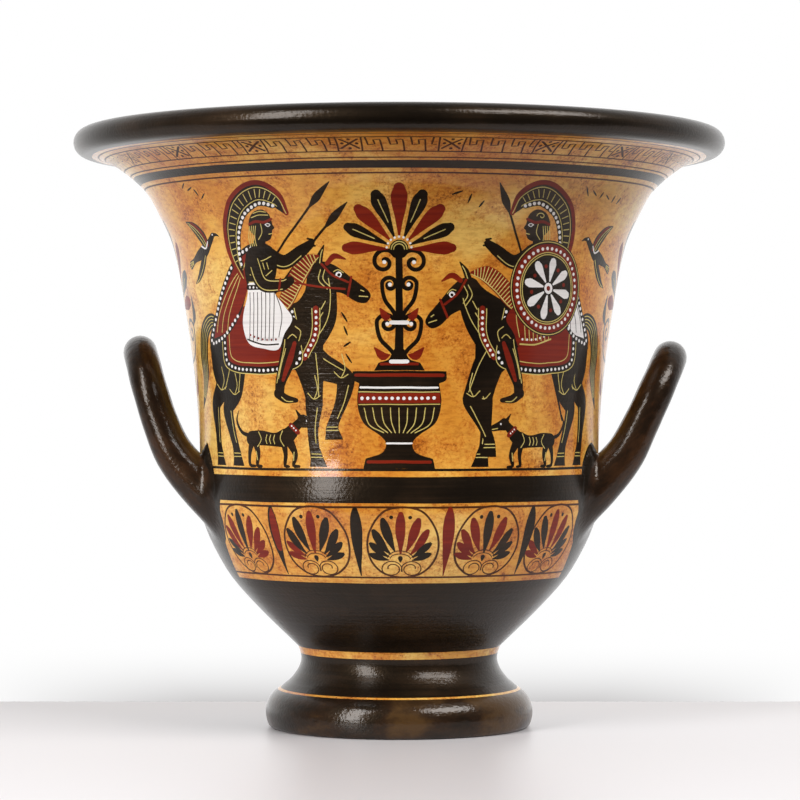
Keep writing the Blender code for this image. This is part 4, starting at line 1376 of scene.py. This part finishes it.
finishes = [
    # Iron glaze, brushed on in rings and fired black: it shines deep, and thin streaks turn brown.
    glaze("black iron glaze", ((0.34, "#0b0806"), (0.5, "#17110b"), (0.66, "#2a1e14")), 0.34, 0.34),
    # Slip rubbed with rust before the varnish: warm and cloudy, with a soft sheen.
    ochre_slip(),
    # Iron-rich red clay, painted over the glaze with a full brush: flat, and duller than the black.
    clay_paint("burgundy clay paint", ((0.35, "#6c180c"), (0.65, "#85250f")), 0.42),
    # White clay, dabbed on thickly: chalky, so that small dots stand out.
    clay_paint("white clay paint", ((0.3, "#d9d2cf"), (0.55, "#ece7e4")), 0.5),
    # A line scratched through the glaze: the pale slip shows in it, dull.
    clay_paint("pale incised line", ((0.3, "#b9a24f"), (0.65, "#d2bf74")), 0.5),
    # Glaze thinned with water for the finest brush: a brown line that is darker where the brush is full.
    clay_paint("dilute brown glaze", ((0.3, "#351a09"), (0.65, "#5a3013")), 0.38),
    # The same glaze swilled round the inside: thinner, and less glossy than outside.
    glaze("dark glaze inside the bowl", ((0.34, "#15100d"), (0.5, "#1f1813"), (0.66, "#2e241b")), 0.5, 0.3),
    # Unglazed clay, wiped clean before the firing: matt and brick red.
    clay_paint("bare fired clay", ((0.3, "#9c5236"), (0.65, "#b96d4c")), 0.8),
    # Glaze brushed along the bars over hand-smoothed clay: streaky, with broken highlights.
    glaze("black glaze on the handles", ((0.34, "#0e0906"), (0.5, "#21150d"), (0.64, "#3d2616")), 0.34, 0.45,
          ALONG_THE_BAR, (0.0, BAR_TILT, 0.0), True, 0.2),
    # A thin coat over the turned foot: the ridges of the brush catch the light, and brown shows through.
    glaze("thin black glaze on the foot", ((0.4, "#0f0a06"), (0.5, "#27190f"), (0.59, "#47321b")), 0.34, 0.5,
          ROUND_THE_FOOT, ridges=0.3),
]

# Fusing the pot
# Lip, wall, stem and handles are luted together and fired as one piece of clay. Their skins meet point
# for point, so they become one shell here, with the finishes that were painted on each.
MELTS = 0.02 * MM


parts = [wall, upper, lower]
for name, mesh in handle_meshes:
    thing = bpy.data.objects.new(name, mesh)
    bpy.context.collection.objects.link(thing)
    parts.append(thing)
bpy.ops.object.select_all(action="DESELECT")
for part in parts:
    part.select_set(True)
    for finish in finishes:
        part.data.materials.append(finish)
bpy.context.view_layer.objects.active = wall
bpy.ops.object.join()
krater = bpy.context.object
krater.name = krater.data.name = "bell_krater"
bpy.ops.object.mode_set(mode="EDIT")
bpy.ops.mesh.select_all(action="SELECT")
bpy.ops.mesh.remove_doubles(threshold=MELTS)
bpy.ops.mesh.normals_make_consistent(inside=False)
bpy.ops.object.mode_set(mode="OBJECT")
mesh = krater.data
mesh.shade_smooth()
normals = read_all(mesh.vertices, "normal", width=3).reshape(-1, 3)
on_wall = read_all(mesh.attributes["on_wall"].data, "value") > 0.5
normals[on_wall] = read_all(mesh.attributes["wall_normal"].data, "vector", width=3).reshape(-1, 3)[on_wall]
for name in ("on_wall", "wall_normal"):
    mesh.attributes.remove(mesh.attributes[name])
mesh.normals_split_custom_set_from_vertices(normals.tolist())
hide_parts("krater")
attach(krater, "root")


# The stage
# A white lacquered board that the pot stands on, near its back edge, under two soft lights. A light
# backdrop hangs behind it, and the room in front is dim, as the glaze's reflections show.
BOARD_BACK = 0.112
BOARD_SIZE = (3.0, 0.376, 0.03)
BOARD_GAP = 0.0001
bpy.ops.object.select_all(action="DESELECT")
board_middle = (0.0, BOARD_BACK - BOARD_SIZE[1] / 2, -BOARD_SIZE[2] / 2 - BOARD_GAP)
bpy.ops.mesh.primitive_cube_add(size=1.0, location=board_middle)
board = bpy.context.object
board.name = "white_board"
board.scale = BOARD_SIZE
bpy.ops.object.transform_apply(location=True, scale=True)
# Sprayed with white lacquer: smooth enough to mirror the foot softly.
board_white, _, shader, _ = new_material("white lacquered board", 0.36, 0.0, 0.1, 0.42)
shader.inputs["Base Color"].default_value = linear("#dbd7d8")
board.data.materials.append(board_white)

scene = bpy.context.scene
scene.view_settings.view_transform = "Standard"
# How bright the surroundings are from front to back, how they darken towards the table, and where the
# lower fold of the backdrop lies in shade, each by the parts of a ray's direction.
FRONT_TO_BACK = ((0.0, 0.03), (0.42, 0.08), (0.6, 0.4), (0.8, 0.85), (1.0, 1.3))
TABLE_SHADE = (-0.4, 0.0)
FOLD_DOWN = (-0.0796, -0.0993)
FOLD_BEHIND = (0.9855, 0.993)
FOLD_SHADE = (0.62, 0.61, 0.61, 1.0)
WHITE_LIGHT = (1.0, 1.0, 1.0, 1.0)
world = bpy.data.worlds.new("white backdrop")
world.use_nodes = True
scene.world = world
tree = world.node_tree
background = tree.nodes["Background"]
ray = node(tree, "ShaderNodeTexCoord").outputs["Generated"]
direction = node(tree, "ShaderNodeSeparateXYZ", {"Vector": ray}).outputs
nearness = node(tree, "ShaderNodeMapRange", {"Value": direction["Y"], "From Min": -1.0, "From Max": 1.0})
glow = node(tree, "ShaderNodeValToRGB", {"Fac": nearness.outputs["Result"]}, FRONT_TO_BACK)
sunk = node(tree, "ShaderNodeMapRange", {"Value": direction["Z"], "From Min": TABLE_SHADE[0],
                                         "From Max": TABLE_SHADE[1], "To Min": 0.8, "To Max": 1.0})
glow = node(tree, "ShaderNodeMix", {0: 1.0, 6: glow.outputs["Color"], 7: sunk.outputs["Result"]},
            **MULTIPLIED)
below = node(tree, "ShaderNodeMapRange", {"Value": direction["Z"], "From Min": FOLD_DOWN[0],
                                          "From Max": FOLD_DOWN[1]})
deepening = node(tree, "ShaderNodeMath", {0: below.outputs["Result"], 1: 2.0}, operation="POWER")
behind = node(tree, "ShaderNodeMapRange", {"Value": direction["Y"], "From Min": FOLD_BEHIND[0],
                                           "From Max": FOLD_BEHIND[1]})
dip = node(tree, "ShaderNodeMath", {0: deepening.outputs["Value"], 1: behind.outputs["Result"]},
           operation="MULTIPLY")
backdrop = node(tree, "ShaderNodeMix", {0: dip.outputs["Value"], 6: WHITE_LIGHT, 7: FOLD_SHADE}, **MIXED)
seen = node(tree, "ShaderNodeLightPath").outputs["Is Camera Ray"]
shown = node(tree, "ShaderNodeMix", {0: seen, 6: glow.outputs[2], 7: backdrop.outputs[2]}, **MIXED)
tree.links.new(shown.outputs[2], background.inputs["Color"])

BOWL_MIDDLE = 0.15


def soft_light(name, azimuth, elevation, distance, size, power):
    """A softbox aimed at the middle of the bowl. The azimuth counts from the camera to the right."""
    turn, lift = math.radians(azimuth), math.radians(elevation)
    data = bpy.data.lights.new(name, "AREA")
    data.shape = "RECTANGLE"
    data.size, data.size_y = size
    data.energy = power
    lamp = bpy.data.objects.new(name, data)
    aim = Vector((0, 0, BOWL_MIDDLE))
    way = Vector((math.sin(turn) * math.cos(lift), -math.cos(turn) * math.cos(lift), math.sin(lift)))
    lamp.location = aim + distance * way
    lamp.rotation_euler = (aim - lamp.location).to_track_quat("-Z", "Y").to_euler()
    bpy.context.collection.objects.link(lamp)


soft_light("left_softbox", -41, 21, 1.6, (0.46, 1.35), 24)
soft_light("right_softbox", 51, 42, 1.8, (1.2, 0.6), 25)

CAMERA_DISTANCE = 1.3913
CAMERA_HEIGHT = 0.15006
camera_data = bpy.data.cameras.new("camera")
camera_data.lens = 135.2
camera_data.sensor_width = 36.0
camera_data.shift_x = 0.001
camera_data.shift_y = 0.00175
camera = bpy.data.objects.new("camera", camera_data)
camera.location = (0.0, -CAMERA_DISTANCE, CAMERA_HEIGHT)
camera.rotation_euler = (math.radians(90), 0, 0)
bpy.context.collection.objects.link(camera)
scene.camera = camera
